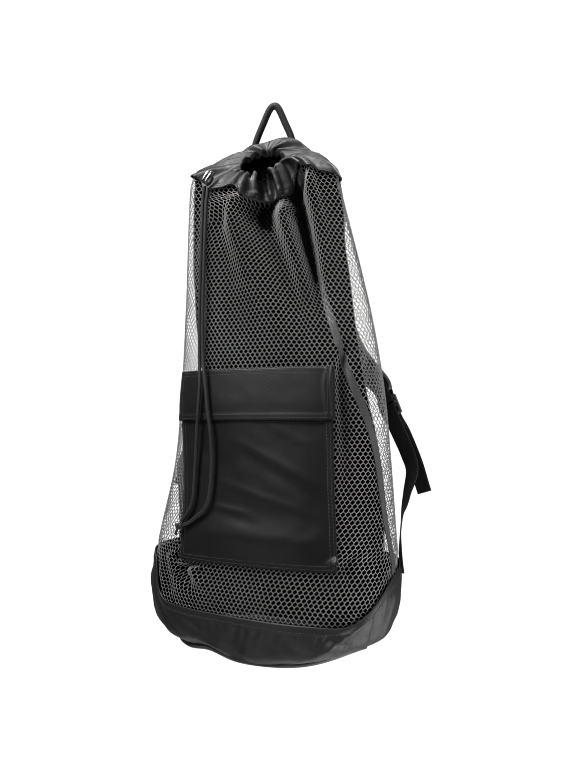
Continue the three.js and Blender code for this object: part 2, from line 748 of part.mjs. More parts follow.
// The left strap is the right one seen in a mirror.
function mirror(geometry) {
  geometry.scale(-1, 1, 1);
  const count = geometry.attributes.position.count;
  const order = geometry.index ? Array.from(geometry.index.array) : [...Array(count).keys()];
  for (let i = 0; i < order.length; i += 3) {
    [order[i], order[i + 1]] = [order[i + 1], order[i]];
  }
  geometry.setIndex(order);
  geometry.computeVertexNormals();
  return geometry;
}

const leftSeam = (shift) => (height) => seamAngle("left", height) + shift;
const rightSeam = (shift) => (height) => seamAngle("right", height) + shift;
const panelLeft = (shift) => (height) => panelAngle(height, -1) + shift;
const panelRight = (shift) => (height) => panelAngle(height, 1) + shift;
const netFront = wallPanel(NET_COLUMNS.front, leftSeam(SEAM_TURN), rightSeam(-SEAM_TURN));
const netRight = wallPanel(NET_COLUMNS.right, rightSeam(SEAM_TURN), panelRight(-SEAM_TURN));
const netLeft = wallPanel(NET_COLUMNS.left, panelLeft(SEAM_TURN), leftSeam(-SEAM_TURN));
const backPanel = wallPanel(NET_COLUMNS.back, panelRight(SEAM_TURN), panelLeft(360 - SEAM_TURN));
const loopLine = LOOP_LINE.map((row) => new THREE.Vector3(row.x, row.y, row.height));
const cordRun = (line) => tube(line.map(frontPoint), 2 * CORD_RADIUS, 2 * CORD_RADIUS, CORD_STEPS);

add("bottom_panel", bottomPanel(), NYLON);
add("base_piping", basePiping(), WEBBING);
add("base_wall", thicken(baseWall(), NYLON_THICK), NYLON);
add("net_front", thicken(netFront, NET_THICK), NET);
add("net_right", thicken(netRight, NET_THICK), NET);
add("net_left", thicken(netLeft, NET_THICK), NET);
add("back_panel", thicken(backPanel, PANEL_THICK), NYLON);
add("seam_tape_right", thicken(seamTape("right"), TAPE_THICK), WEBBING);
add("seam_tape_left", thicken(seamTape("left"), TAPE_THICK), WEBBING);
add("collar", thicken(collar(), NYLON_THICK), NYLON);
add("pocket", thicken(pocket(), NYLON_THICK), NYLON);
add("pocket_flap", thicken(pocketFlap(), NYLON_THICK), NYLON);
add("haul_loop", tube(loopLine, LOOP_WIDTH, LOOP_DEPTH, LOOP_STEPS), WEBBING);
add("drawcord_left", cordRun(CORD_LEFT), WEBBING);
add("drawcord_right", cordRun(CORD_RIGHT), WEBBING);
add("drawcord_knot", cordKnot(), WEBBING);
add("cord_lock", cordLock(), PLASTIC);
add("strap_pad_right", strapPad(), WEBBING);
add("strap_tab_right", strapTab(), WEBBING);
add("ladder_lock_right", ladderLock(), PLASTIC);
add("strap_web_right", strapWeb(1), WEBBING);
add("strap_pad_left", mirror(strapPad()), WEBBING);
add("strap_tab_left", mirror(strapTab()), WEBBING);
add("ladder_lock_left", mirror(ladderLock()), PLASTIC);
add("strap_web_left", mirror(strapWeb(-1)), WEBBING);

export default bag;
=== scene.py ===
# %% [markdown]
# A tall net backpack hangs by its haul loop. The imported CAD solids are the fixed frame: they hold
# the sizes and places. This lesson dresses each of them as the real thing it stands for: knitted
# net, black nylon, webbing, cord and moulded plastic.

# %% Load the bag
import math

import bpy
import numpy as np
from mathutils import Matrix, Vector, noise


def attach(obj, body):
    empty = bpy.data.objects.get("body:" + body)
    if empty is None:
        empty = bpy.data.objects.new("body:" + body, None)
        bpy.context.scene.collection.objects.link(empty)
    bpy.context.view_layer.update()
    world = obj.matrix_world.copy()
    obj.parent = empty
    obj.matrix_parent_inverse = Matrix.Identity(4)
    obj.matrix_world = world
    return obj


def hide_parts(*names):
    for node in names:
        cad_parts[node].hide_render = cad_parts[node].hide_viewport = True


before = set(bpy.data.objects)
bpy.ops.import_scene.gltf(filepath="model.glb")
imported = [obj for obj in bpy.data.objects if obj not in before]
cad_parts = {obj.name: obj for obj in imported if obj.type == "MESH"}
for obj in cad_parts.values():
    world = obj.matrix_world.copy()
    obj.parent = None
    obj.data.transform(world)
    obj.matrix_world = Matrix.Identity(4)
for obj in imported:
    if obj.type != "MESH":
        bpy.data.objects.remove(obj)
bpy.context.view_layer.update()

# %% [markdown]
# The bag was measured in millimetres above the underside of its base, and the frame's origin is the
# peg under the top of the haul loop. The tables below follow the ones that shaped the solids, so every
# dressed piece lands on its solid. A few rows are moved by some millimetres, where the soft edges of
# the cloth ask for it. Each table has named columns, and a smooth curve runs through each column.

# %% Tables of the bag's form
HANG = np.array((-5.5, 24.0, 636.0))


def table(header, *rows):
    return dict(zip(header.split(), np.array(rows, float).T))


def rows_of(tab):
    return [dict(zip(tab, row)) for row in zip(*tab.values())]


SECTIONS = table(
    "height half_width front back sway turn square",
    (6, 120, 82, 66, -5, 14, 1.95),
    (14, 140, 85, 70, -6, 14, 2.2),
    (30, 152, 86, 72, -6, 14, 2.4),
    (70, 158, 83, 73, -5, 13, 2.6),
    (130, 146, 78, 68, 0, 9, 2.6),
    (212, 132, 68, 58, 7, 6, 2.6),
    (300, 124, 57, 48, 7, 4, 2.6),
    (400, 115, 44, 38, 3, 2, 2.6),
    (480, 105, 34, 32, -4, 0, 2.6),
    (530, 99, 27, 28, -9, 0, 2.6),
    (575, 94, 20, 25, -11, 0, 2.6),
)
RIM = table(
    "angle height",
    (-180, 112), (-100, 110), (-66, 106), (-53, 100), (-45, 84), (-39, 62), (-33, 53), (-20, 51), (0, 51),
    (30, 51), (52, 52), (66, 66), (82, 90), (105, 106), (180, 112),
)
COLLAR = table(
    "angle seam crest lean",
    (-180, 553, 604, 0.3), (-155, 555, 595, 0.3), (-126, 558, 584, 0.3), (-100, 561, 576, 0.35),
    (-80, 560, 572, 0.45), (-62, 557, 567, 0.5), (-52, 550, 560, 0.53), (-46, 539, 558, 0.55),
    (-40, 531, 557, 0.57), (-30, 530, 555, 0.6), (-20, 531, 554, 0.65), (-14, 535, 552, 0.68),
    (-10.5, 531, 550, 0.7), (-7, 520, 549, 0.7), (-2, 518, 548, 0.7), (4, 519, 550, 0.7),
    (10, 523, 555, 0.7), (14.5, 529, 559, 0.69), (18, 545, 562, 0.67), (22, 556, 565, 0.65),
    (30, 550, 567, 0.6), (45, 543.5, 568, 0.5), (60, 539, 566, 0.45), (90, 539, 562, 0.35),
    (124, 544, 573, 0.3), (149, 548, 590, 0.3), (167, 551, 605, 0.3), (180, 553, 604, 0.3),
)
SIDE_SEAMS = table(
    "height left right",
    (20, -27, 90), (104, -28, 88), (166, -29, 78), (231, -31, 69.5), (294, -33, 52), (330, -35, 43.5),
    (365, -36, 37), (400, -38, 31.5), (480, -42, 25), (575, -47, 21),
)
PANEL = table(
    "height half_width shift",
    (100, 110, 10), (173, 108, 8), (232, 104, 3), (293, 102, -7), (373, 100, -14), (440, 96.5, -12.5),
    (480, 95, -11), (530, 100, -7), (560, 99, -5),
)
FOLDS = table(
    "root_height tip_height root_angle tip_angle width depth",
    (520, 430, -2, -5, 8, -9),
    (545, 340, 15, 33, 8, -13),
    (520, 360, -22, -12, 14, 8),
    (500, 380, 6, 10, 6, 6),
    (520, 330, 31, 44, 7, 5),
    (540, 380, -50, -56, 9, -5),
    (50, 230, 50, 44, 10, 5),
    (75, 125, -32, -40, 7, -5),
)
print("tables with", len(SECTIONS["height"]), "sections and", len(FOLDS["depth"]), "folds")

# %% [markdown]
# A smooth curve through the rows of a table is read at any height or angle, so a few rows are enough
# for a long form. The bag's millimetres become the frame's metres only when a piece is placed.

# %% Reading the tables


def metres(points):
    return (np.asarray(points, float) - HANG) / 1000.0


def follow(tab, key, name, at):
    xs, ys = tab[key], tab[name]
    place = np.arange(len(xs))
    low, high = np.maximum(place - 1, 0), np.minimum(place + 1, len(xs) - 1)
    slope = (ys[high] - ys[low]) / (xs[high] - xs[low])
    at = np.clip(np.asarray(at, float), xs[0], xs[-1])
    i = np.clip(np.searchsorted(xs, at) - 1, 0, len(xs) - 2)
    span = xs[i + 1] - xs[i]
    t = (at - xs[i]) / span
    rise = ys[i] + (ys[i + 1] - ys[i]) * t * t * (3 - 2 * t)
    return rise + span * t * (1 - t) * (slope[i] * (1 - t) - slope[i + 1] * t)


def section(name, height):
    return follow(SECTIONS, "height", name, height)


def rim_height(angle):
    return follow(RIM, "angle", "height", angle)


def collar_seam(angle):
    return follow(COLLAR, "angle", "seam", angle)


def signed_power(value, exponent):
    return np.sign(value) * np.abs(value) ** exponent


def smooth_step(start, end, at):
    t = np.clip((np.asarray(at, float) - start) / (end - start), 0, 1)
    return t * t * (3 - 2 * t)


print("rim at the front", float(rim_height(0.0)), "mm, collar's seam", float(collar_seam(0.0)), "mm")

# %% [markdown]
# The bag's plain form is an oval at each height, with its own depth in front and behind. A place on
# it is a height and an angle round the bag: 0 is the front, and 90 is the right, seen from the front.
# Cloth is then the plain form pushed in or out along its own normal by the folds. A fold is a line from
# its root to its tip, and it grows from nothing at the tip to its full depth at the root.

# %% The bag's form as functions


def wrap_angle(angle):
    return (angle + 180) % 360 - 180


def unit(vectors):
    return vectors / np.maximum(np.linalg.norm(vectors, axis=-1, keepdims=True), 1e-9)


def bell(at, middle, width):
    return np.exp(-(((at - middle) / width) ** 2))


def plain_form(angle, height, forward=0.0):
    angle, height, forward = np.broadcast_arrays(
        np.asarray(angle, float), np.asarray(height, float), np.asarray(forward, float)
    )
    bend = 2.0 / section("square", height)
    turn = np.radians(section("turn", height))
    ahead = signed_power(np.cos(np.radians(angle)), bend)
    side = section("half_width", height) * signed_power(np.sin(np.radians(angle)), bend)
    deep = -ahead * np.where(ahead > 0, section("front", height), section("back", height)) - forward
    x = section("sway", height) + side * np.cos(turn) + deep * np.sin(turn)
    y = deep * np.cos(turn) - side * np.sin(turn)
    return np.stack((x, y, height), -1)


def outward(angle, height, step=2.0):
    along = plain_form(angle + step, height) - plain_form(angle - step, height)
    up = plain_form(angle, height + step) - plain_form(angle, height - step)
    return unit(np.cross(along, up))


def fold_lift(angle, height, folds, fade=0.0):
    lift = np.zeros(np.broadcast(angle, height).shape)
    for fold in rows_of(folds):
        run = (height - fold["tip_height"]) / (fold["root_height"] - fold["tip_height"])
        t = np.clip(run, 0, 1)
        if fade:
            t = t * (1 - smooth_step(1, 1 + fade, run))
        middle = fold["tip_angle"] + (fold["root_angle"] - fold["tip_angle"]) * t
        lift += fold["depth"] * t * t * (3 - 2 * t) * bell(angle, middle, fold["width"])
    return lift


def angle_across(across, height):
    share = np.asarray(across, float) / section("half_width", height)
    sine = signed_power(share, section("square", height) / 2)
    return np.degrees(np.arcsin(np.clip(sine, -1, 1)))


def front_point(height, across, forward):
    return plain_form(angle_across(across, height), height, forward)


print("front at 300 mm", np.round(plain_form(0.0, 300.0), 1))

# %% [markdown]
# The camera stands level in front of the bag and a little to the right, as for the photograph. A
# small lens shift frames the bag without tilting its upright lines.

# %% Camera
CAMERA_PLACE = (0.2740, -0.8179, -0.374)
CAMERA_YAW = 18.0
FOCAL_PIXELS, SENSOR = 708.0, 36.0
FRAME_WIDE, FRAME_HIGH = 576, 768
AIM_PIXEL = (283.0, 421.0)


def deselect_all():
    if bpy.context.mode != "OBJECT":
        bpy.ops.object.mode_set(mode="OBJECT")
    bpy.ops.object.select_all(action="DESELECT")


def make_active(obj):
    deselect_all()
    obj.select_set(True)
    bpy.context.view_layer.objects.active = obj
    return obj


deselect_all()
bpy.ops.object.camera_add(location=CAMERA_PLACE, rotation=(math.pi / 2, 0, math.radians(CAMERA_YAW)))
camera = bpy.context.object
camera.name = "photo_camera"
camera.data.sensor_width = SENSOR
camera.data.lens = SENSOR * FOCAL_PIXELS / FRAME_HIGH
camera.data.shift_x = (FRAME_WIDE / 2 - AIM_PIXEL[0]) / FRAME_HIGH
camera.data.shift_y = (AIM_PIXEL[1] - FRAME_HIGH / 2) / FRAME_HIGH
camera.data.clip_start = 0.01
bpy.context.scene.camera = camera
print("lens", round(camera.data.lens, 2), "mm")

# %% [markdown]
# The studio is white paper to the camera and dim to all else. The main soft box is high at the front
# left, weaker ones fill in from above, the front, both sides low down, the right and behind, and a pale
# floor lies far below.

# %% Light and floor
MIDDLE = (0.0, -0.02, -0.33)
DIM_ROOM, WHITE_PAPER = 0.09, 1.05
FLOOR_DROP, FLOOR_RADIUS = 1.62, 1.2


def soft_box(name, place, target, size, power):
    deselect_all()
    bpy.ops.object.light_add(type="AREA", location=place)
    lamp = bpy.context.object
    lamp.name = name
    lamp.data.shape = "RECTANGLE"
    lamp.data.size, lamp.data.size_y = size
    lamp.data.energy = power
    lamp.rotation_euler = (Vector(target) - Vector(place)).to_track_quat("-Z", "Y").to_euler()
    return lamp


soft_box("box_key", (-0.62, -0.74, 1.05), MIDDLE, (0.6, 0.6), 72)
soft_box("box_above", (0.1, -0.15, 1.1), MIDDLE, (1.0, 0.6), 16)
soft_box("box_front", (-0.6, -1.3, 0.2), (0.0, -0.1, -0.5), (0.5, 0.3), 3)
soft_box("box_low_left", (-0.5, -0.95, -0.9), (0.0, -0.1, -0.56), (0.3, 0.3), 1.5)
soft_box("box_low_right", (0.85, -0.25, -0.95), (0.1, -0.05, -0.6), (1.0, 0.8), 21)
soft_box("box_right", (1.4, 0.1, 0.2), MIDDLE, (0.4, 1.2), 3)
soft_box("box_behind", (0.1, 1.3, 0.8), MIDDLE, (1.2, 0.8), 14)

world = bpy.data.worlds.new("white_studio")
world.use_nodes = True
sky = world.node_tree
dim, paper = sky.nodes["Background"], sky.nodes.new("ShaderNodeBackground")
for backdrop, strength in ((dim, DIM_ROOM), (paper, WHITE_PAPER)):
    backdrop.inputs["Color"].default_value = (1, 1, 1, 1)
    backdrop.inputs["Strength"].default_value = strength
which = sky.nodes.new("ShaderNodeMixShader")
rays = sky.nodes.new("ShaderNodeLightPath")
sky.links.new(rays.outputs["Is Camera Ray"], which.inputs["Fac"])
sky.links.new(dim.outputs["Background"], which.inputs[1])
sky.links.new(paper.outputs["Background"], which.inputs[2])
sky.links.new(which.outputs["Shader"], sky.nodes["World Output"].inputs["Surface"])
bpy.context.scene.world = world
bpy.context.scene.view_settings.view_transform = "Standard"
bpy.context.scene.cycles.filter_width = 1.0

deselect_all()
bpy.ops.mesh.primitive_circle_add(
    vertices=96, radius=FLOOR_RADIUS, fill_type="NGON", location=(0, 0, -FLOOR_DROP)
)
floor = bpy.context.object
floor.name = "pale_floor"
bpy.ops.object.transform_apply(location=True, rotation=True, scale=True)
floor_paint = bpy.data.materials.new("floor_paint")
floor_paint.use_nodes = True
paint = floor_paint.node_tree.nodes["Principled BSDF"].inputs
paint["Base Color"].default_value = (0.97, 0.97, 0.97, 1)
paint["Roughness"].default_value = 0.9
paint["Specular IOR Level"].default_value = 0.1
floor.data.materials.append(floor_paint)
print("floor", FLOOR_DROP, "m under the peg")

# %% [markdown]
# Cloth finishes share two effects. One is the weave: threads over and under, read from a piece's own
# UV map, which is kept in metres so that the threads have one size on every piece. The other is the
# uneven tone of used cloth, read from Object coordinates. Each is a shader group that gives out
# only values that change over the surface, and the Principled shader stays in each material.

# %% Shader groups
FLOAT, VECTOR = "NodeSocketFloat", "NodeSocketVector"


def new_group(name, inputs, outputs):
    group = bpy.data.node_groups.new(name, "ShaderNodeTree")
    for label, kind, value in inputs:
        socket = group.interface.new_socket(label, in_out="INPUT", socket_type=kind)
        if value is not None:
            socket.default_value = value
    for label, kind in outputs:
        group.interface.new_socket(label, in_out="OUTPUT", socket_type=kind)
    entry, leave = group.nodes.new("NodeGroupInput"), group.nodes.new("NodeGroupOutput")
    return group, entry, leave


def math_node(tree, operation, first, second=None, third=None):
    node = tree.nodes.new("ShaderNodeMath")
    node.operation = operation
    for socket, value in zip(node.inputs, (first, second, third)):
        if value is None:
            continue
        if isinstance(value, (int, float)):
            socket.default_value = value
        else:
            tree.links.new(value, socket)
    return node.outputs[0]


def weave_group():
    group, entry, leave = new_group(
        "over_and_under",
        [("Vector", VECTOR, None), ("Pitch", FLOAT, 0.0006), ("Stretch", FLOAT, 1.0)],
        [("Height", FLOAT), ("Thread", FLOAT)],
    )
    split = group.nodes.new("ShaderNodeSeparateXYZ")
    group.links.new(entry.outputs["Vector"], split.inputs[0])
    across = math_node(group, "DIVIDE", split.outputs["X"], entry.outputs["Pitch"])
    along = math_node(group, "DIVIDE", split.outputs["Y"], entry.outputs["Pitch"])
    along = math_node(group, "DIVIDE", along, entry.outputs["Stretch"])
    warp = math_node(group, "SINE", math_node(group, "MULTIPLY", across, math.pi))
    weft = math_node(group, "SINE", math_node(group, "MULTIPLY", along, math.pi))
    woven = math_node(group, "MULTIPLY", warp, weft)
    group.links.new(math_node(group, "MULTIPLY_ADD", woven, 0.5, 0.5), leave.inputs["Height"])
    threads = [math_node(group, "ABSOLUTE", wave) for wave in (warp, weft)]
    group.links.new(math_node(group, "MULTIPLY", *threads), leave.inputs["Thread"])
    return group


def tone_group():
    group, entry, leave = new_group(
        "uneven_tone",
        [("Vector", VECTOR, None), ("Scale", FLOAT, 12.0), ("Fine", FLOAT, 160.0)],
        [("Cloud", FLOAT), ("Grain", FLOAT)],
    )
    for label, scale, detail in (("Cloud", "Scale", 4.0), ("Grain", "Fine", 3.0)):
        cloud = group.nodes.new("ShaderNodeTexNoise")
        cloud.inputs["Detail"].default_value = detail
        group.links.new(entry.outputs["Vector"], cloud.inputs["Vector"])
        group.links.new(entry.outputs[scale], cloud.inputs["Scale"])
        group.links.new(cloud.outputs["Fac"], leave.inputs[label])
    return group


WEAVE = weave_group()
TONE = tone_group()
print("groups", WEAVE.name, TONE.name)

# %% [markdown]
# One recipe makes every cloth finish: two close greys mixed by the uneven tone, a roughness that
# drifts with it, and a bump from the weave and the grain. Only the numbers differ between satin
# nylon, ribbed webbing, braided cord and net yarn. Sheen and specular level are the same all over a
# surface, so they are set on the shader itself.

# %% The recipe of a finish
THREAD_SHARE, THREAD_MEAN = 0.35, 0.17
ROUGH_DRIFT, GRAIN_SHARE, RELIEF, SHEEN_ROUGH = 0.2, 0.25, 0.6, 0.4


def finish(
    name, dark, light, rough, pitch, bump, specular, stretch=1.0, sheen=0.0, uses_uv=True, cloud=12.0
):
    material = bpy.data.materials.new(name)
    material.use_nodes = True
    tree = material.node_tree
    shader = tree.nodes["Principled BSDF"]
    place = tree.nodes.new("ShaderNodeTexCoord")
    tone = tree.nodes.new("ShaderNodeGroup")
    tone.node_tree = TONE
    tone.inputs["Scale"].default_value = cloud
    tree.links.new(place.outputs["Object"], tone.inputs["Vector"])
    weave = tree.nodes.new("ShaderNodeGroup")
    weave.node_tree = WEAVE
    weave.inputs["Pitch"].default_value = pitch
    weave.inputs["Stretch"].default_value = stretch
    tree.links.new(place.outputs["UV" if uses_uv else "Object"], weave.inputs["Vector"])
    mixed = tree.nodes.new("ShaderNodeMix")
    mixed.data_type = "RGBA"
    mixed.inputs["A"].default_value = (*dark, 1)
    mixed.inputs["B"].default_value = (*light, 1)
    share = math_node(tree, "MULTIPLY_ADD", weave.outputs["Thread"], THREAD_SHARE, -THREAD_MEAN)
    share = math_node(tree, "ADD", share, tone.outputs["Cloud"])
    tree.links.new(share, mixed.inputs["Factor"])
    tree.links.new(mixed.outputs["Result"], shader.inputs["Base Color"])
    drift = math_node(tree, "MULTIPLY_ADD", tone.outputs["Cloud"], ROUGH_DRIFT, rough - ROUGH_DRIFT / 2)
    tree.links.new(drift, shader.inputs["Roughness"])
    height = math_node(tree, "MULTIPLY_ADD", tone.outputs["Grain"], GRAIN_SHARE, weave.outputs["Height"])
    relief = tree.nodes.new("ShaderNodeBump")
    relief.inputs["Strength"].default_value = RELIEF
    relief.inputs["Distance"].default_value = bump
    tree.links.new(height, relief.inputs["Height"])
    tree.links.new(relief.outputs["Normal"], shader.inputs["Normal"])
    shader.inputs["Sheen Weight"].default_value = sheen
    shader.inputs["Sheen Roughness"].default_value = SHEEN_ROUGH
    shader.inputs["Specular IOR Level"].default_value = specular
    return material


print("a finish drifts by", ROUGH_DRIFT, "in roughness")

# %% [markdown]
# The bag is black all over, so its finishes differ more in gloss than in tone. The nylon is satin and
# its inside is matt, and the inside's colour is painted darker than the nylon, as painted shade inside
# the bag. The net's yarn is black as well, but its colour is painted paler, a painted sheen for the
# light that its strands catch on all sides, and it shines.

# %% Finishes
NYLON = finish(
    "satin_nylon", (0.003, 0.003, 0.0031), (0.007, 0.007, 0.0072),
    rough=0.48, pitch=0.0007, bump=0.0001, sheen=0.01, specular=0.27,
)
POCKET_NYLON = finish(
    "pocket_nylon", (0.003, 0.003, 0.0031), (0.007, 0.007, 0.0072),
    rough=0.42, pitch=0.0007, bump=0.0001, sheen=0.01, specular=0.13,
)
# The yarn is black; its colour is painted paler than the nylon, a painted sheen for the light its strands
# catch.
YARN = finish(
    "net_yarn", (0.05, 0.05, 0.0505), (0.15, 0.15, 0.151),
    rough=0.38, pitch=0.0009, bump=0.00015, sheen=0.02, specular=1.0, uses_uv=False, cloud=30.0,
)
# A near-black, dull copy of the yarn: painted shade for the strands deep in the folds.
SHADED_YARN = finish(
    "yarn_painted_shade", (0.002, 0.002, 0.002), (0.006, 0.006, 0.006),
    rough=0.8, pitch=0.0009, bump=0.00015, specular=0.05, uses_uv=False,
)
WEBBING = finish(
    "ribbed_webbing", (0.004, 0.004, 0.004), (0.009, 0.009, 0.0092),
    rough=0.6, pitch=0.0014, stretch=1.6, bump=0.0003, sheen=0.03, specular=0.16,
)
TAPE = finish(
    "binding_tape", (0.008, 0.008, 0.008), (0.060, 0.060, 0.060),
    rough=0.5, pitch=0.0011, stretch=1.3, bump=0.0002, specular=0.3,
)
BRAID = finish(
    "braided_cord", (0.003, 0.003, 0.003), (0.012, 0.012, 0.0122),
    rough=0.6, pitch=0.0010, bump=0.0003, sheen=0.05, specular=0.2,
)
PADDING = finish(
    "strap_cloth", (0.006, 0.006, 0.006), (0.013, 0.013, 0.0132),
    rough=0.65, pitch=0.0010, bump=0.0002, sheen=0.06, specular=0.2, uses_uv=False,
)
# The inside face is matt, and its colour is painted darker than the nylon outside: painted shade inside the
# bag.
SHADED_INSIDE = finish(
    "matt_inside_painted_shade", (0.0006, 0.0006, 0.0006), (0.0012, 0.0012, 0.0012),
    rough=0.9, pitch=0.0007, bump=0.0001, specular=0.0,
)
THREAD = finish(
    "sewing_thread", (0.004, 0.004, 0.0042), (0.012, 0.012, 0.0122),
    rough=0.5, pitch=0.0005, bump=0.0001, sheen=0.1, specular=0.35, uses_uv=False,
)
PLASTIC = finish(
    "moulded_plastic", (0.006, 0.006, 0.006), (0.011, 0.011, 0.011),
    rough=0.32, pitch=0.0016, bump=0.00004, specular=0.5, uses_uv=False,
)
print("finishes", len([m for m in bpy.data.materials if m.users == 0]))

# %% [markdown]
# Most pieces start from Blender's grid primitive. These helpers make a grid, move its points, stretch
# its UV map to metres, so that the weave keeps its size, and turn its faces outwards.

# %% Helpers for meshes


def read_points(obj):
    points = np.empty(len(obj.data.vertices) * 3)
    obj.data.vertices.foreach_get("co", points)
    return points.reshape(-1, 3)


def write_points(obj, points):
    obj.data.vertices.foreach_set("co", np.ascontiguousarray(points, float).ravel())
    obj.data.update()


def flat_grid(name, columns, rows):
    deselect_all()
    bpy.ops.mesh.primitive_grid_add(x_subdivisions=columns, y_subdivisions=rows, size=1, location=(0, 0, 0))
    obj = bpy.context.object
    obj.name = obj.data.name = name
    return obj


def scale_uv(obj, wide, high):
    layer = obj.data.uv_layers.active.data
    values = np.empty(len(layer) * 2)
    layer.foreach_get("uv", values)
    layer.foreach_set("uv", (values.reshape(-1, 2) * (wide, high)).ravel())


def apply_modifier(obj, kind, **settings):
    make_active(obj)
    bpy.ops.object.modifier_add(type=kind)
    modifier = obj.modifiers[-1]
    for name, value in settings.items():
        setattr(modifier, name, value)
    bpy.ops.object.modifier_apply(modifier=modifier.name)


def merge_doubles(obj, distance=1e-6):
    make_active(obj)
    bpy.ops.object.mode_set(mode="EDIT")
    bpy.ops.mesh.select_all(action="SELECT")
    bpy.ops.mesh.remove_doubles(threshold=distance)
    bpy.ops.object.mode_set(mode="OBJECT")


def face_outward(obj, fill=False):
    make_active(obj)
    bpy.ops.object.mode_set(mode="EDIT")
    bpy.ops.mesh.select_all(action="SELECT")
    if fill:
        bpy.ops.mesh.fill_holes(sides=0)
        bpy.ops.mesh.select_all(action="SELECT")
    bpy.ops.mesh.normals_make_consistent(inside=False)
    bpy.ops.object.mode_set(mode="OBJECT")


print("mesh helpers ready")

# %% [markdown]
# A sheet of cloth is a grid whose two directions become the two directions of the cloth. Each point is
# carried to its place on the bag, and Solidify gives the cloth its thickness. The second material slot
# is its inner face. Dressing a piece sets its finish, its body, and the solids that it stands for.

# %% Helpers for cloth


def dress(obj, material, slot, *nodes, inside=None):
    make_active(obj)
    if not obj.material_slots:
        bpy.ops.object.material_slot_add()
    for place, paint in zip(obj.material_slots, (material, inside or material)):
        place.material = paint
    bpy.ops.object.shade_smooth()
    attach(obj, "root")
    if nodes:
        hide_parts(*nodes)
    triangles = sum(len(p.vertices) - 2 for p in obj.data.polygons)
    print(obj.name, "triangles", triangles)
    return obj


def cloth_sheet(name, columns, rows, place, size, thick, closed=False):
    obj = flat_grid(name, columns, rows)
    flat = read_points(obj)
    scale_uv(obj, size[0], size[1])
    write_points(obj, metres(place(flat[:, 0] + 0.5, flat[:, 1] + 0.5)))
    if closed:
        merge_doubles(obj)
    make_active(obj)
    bpy.ops.object.material_slot_add()
    bpy.ops.object.material_slot_add()
    apply_modifier(
        obj, "SOLIDIFY", thickness=thick / 1000.0, offset=0.0, use_quality_normals=True, material_offset=1
    )
    return obj


def crumple(points, size, depth, seed=0.0):
    shift = Vector((seed, seed * 1.7, seed * 0.6))
    return np.array([depth * noise.fractal(Vector(p) / size + shift, 0.9, 2.0, 3) for p in points])


print("cloth helpers ready")

# %% [markdown]
# Cords, bindings and piping are tubes. A smooth line runs through a few places, and a tube follows it.
# The tube starts as a grid: across the grid is round the cord, and up the grid is along it.

# %% Lines and tubes
CURVE_STEPS, END_SHARE = 24, 0.35


def smooth_line(points, steps):
    points = np.asarray(points, float)
    padded = np.vstack((2 * points[0] - points[1], points, 2 * points[-1] - points[-2]))
    at = np.linspace(0, len(points) - 1, CURVE_STEPS * (len(points) - 1) + 1)
    i = np.minimum(at.astype(int), len(points) - 2)
    t = (at - i)[:, None]
    a, b, c, d = (padded[i + k] for k in range(4))
    root = [np.sqrt(np.linalg.norm(q - p, axis=1))[:, None] for p, q in ((a, b), (b, c), (c, d))]
    out = ((b - a) / root[0] - (c - a) / (root[0] + root[1]) + (c - b) / root[1]) * root[1]
    into = ((c - b) / root[1] - (d - b) / (root[1] + root[2]) + (d - c) / root[2]) * root[1]
    curve = b + out * t + (3 * c - 3 * b - 2 * out - into) * t**2 + (2 * b - 2 * c + out + into) * t**3
    return even_line(curve, steps)


def line_length(points):
    return np.concatenate(([0.0], np.cumsum(np.linalg.norm(np.diff(points, axis=0), axis=1))))


def even_line(points, steps):
    run = line_length(points)
    at = np.linspace(0, run[-1], steps + 1)
    return np.stack([np.interp(at, run, points[:, k]) for k in range(3)], -1)


def line_frames(path, hint):
    along = unit(np.gradient(path, axis=0))
    way = np.asarray(hint, float)
    ways = []
    for tangent in along:
        way = way - tangent * np.dot(way, tangent)
        way = way / np.linalg.norm(way)
        ways.append(way)
    ways = np.array(ways)
    return along, ways, np.cross(along, ways)


def tube(name, path, wide, deep, sides, hint=(1, 0, 0), closed=False, round_ends=0):
    path = np.asarray(path, float)
    along, way, out = line_frames(path, hint)
    rows = len(path) - 1
    obj = flat_grid(name, sides, rows)
    flat = read_points(obj)
    scale_uv(obj, math.pi * (wide + deep) / 2000.0, line_length(path)[-1] / 1000.0)
    k = np.rint((flat[:, 1] + 0.5) * rows).astype(int)
    turn = 2 * np.pi * (flat[:, 0] + 0.5)
    near_end = np.minimum(k, rows - k)
    flat_end = 1 - (near_end + END_SHARE) / (round_ends + END_SHARE)
    shrink = np.where(near_end < round_ends, np.sqrt(np.maximum(1 - flat_end**2, 0)), 1.0)
    ring = way[k] * (np.cos(turn) * wide / 2 * shrink)[:, None]
    ring = ring + out[k] * (np.sin(turn) * deep / 2 * shrink)[:, None]
    write_points(obj, metres(path[k] + ring))
    merge_doubles(obj, 1e-5)
    face_outward(obj, fill=not closed)
    return obj


def join(name, pieces):
    make_active(pieces[0])
    for piece in pieces[1:]:
        piece.select_set(True)
    bpy.ops.object.join()
    obj = bpy.context.object
    obj.name = obj.data.name = name
    return obj


print("line helpers ready")

# %% [markdown]
# Two runs of drawcord hang down the front left of the bag and end in one knot. Each run goes through
# the places where it was seen. The knot is a short cord wound round itself twice, with a tail.

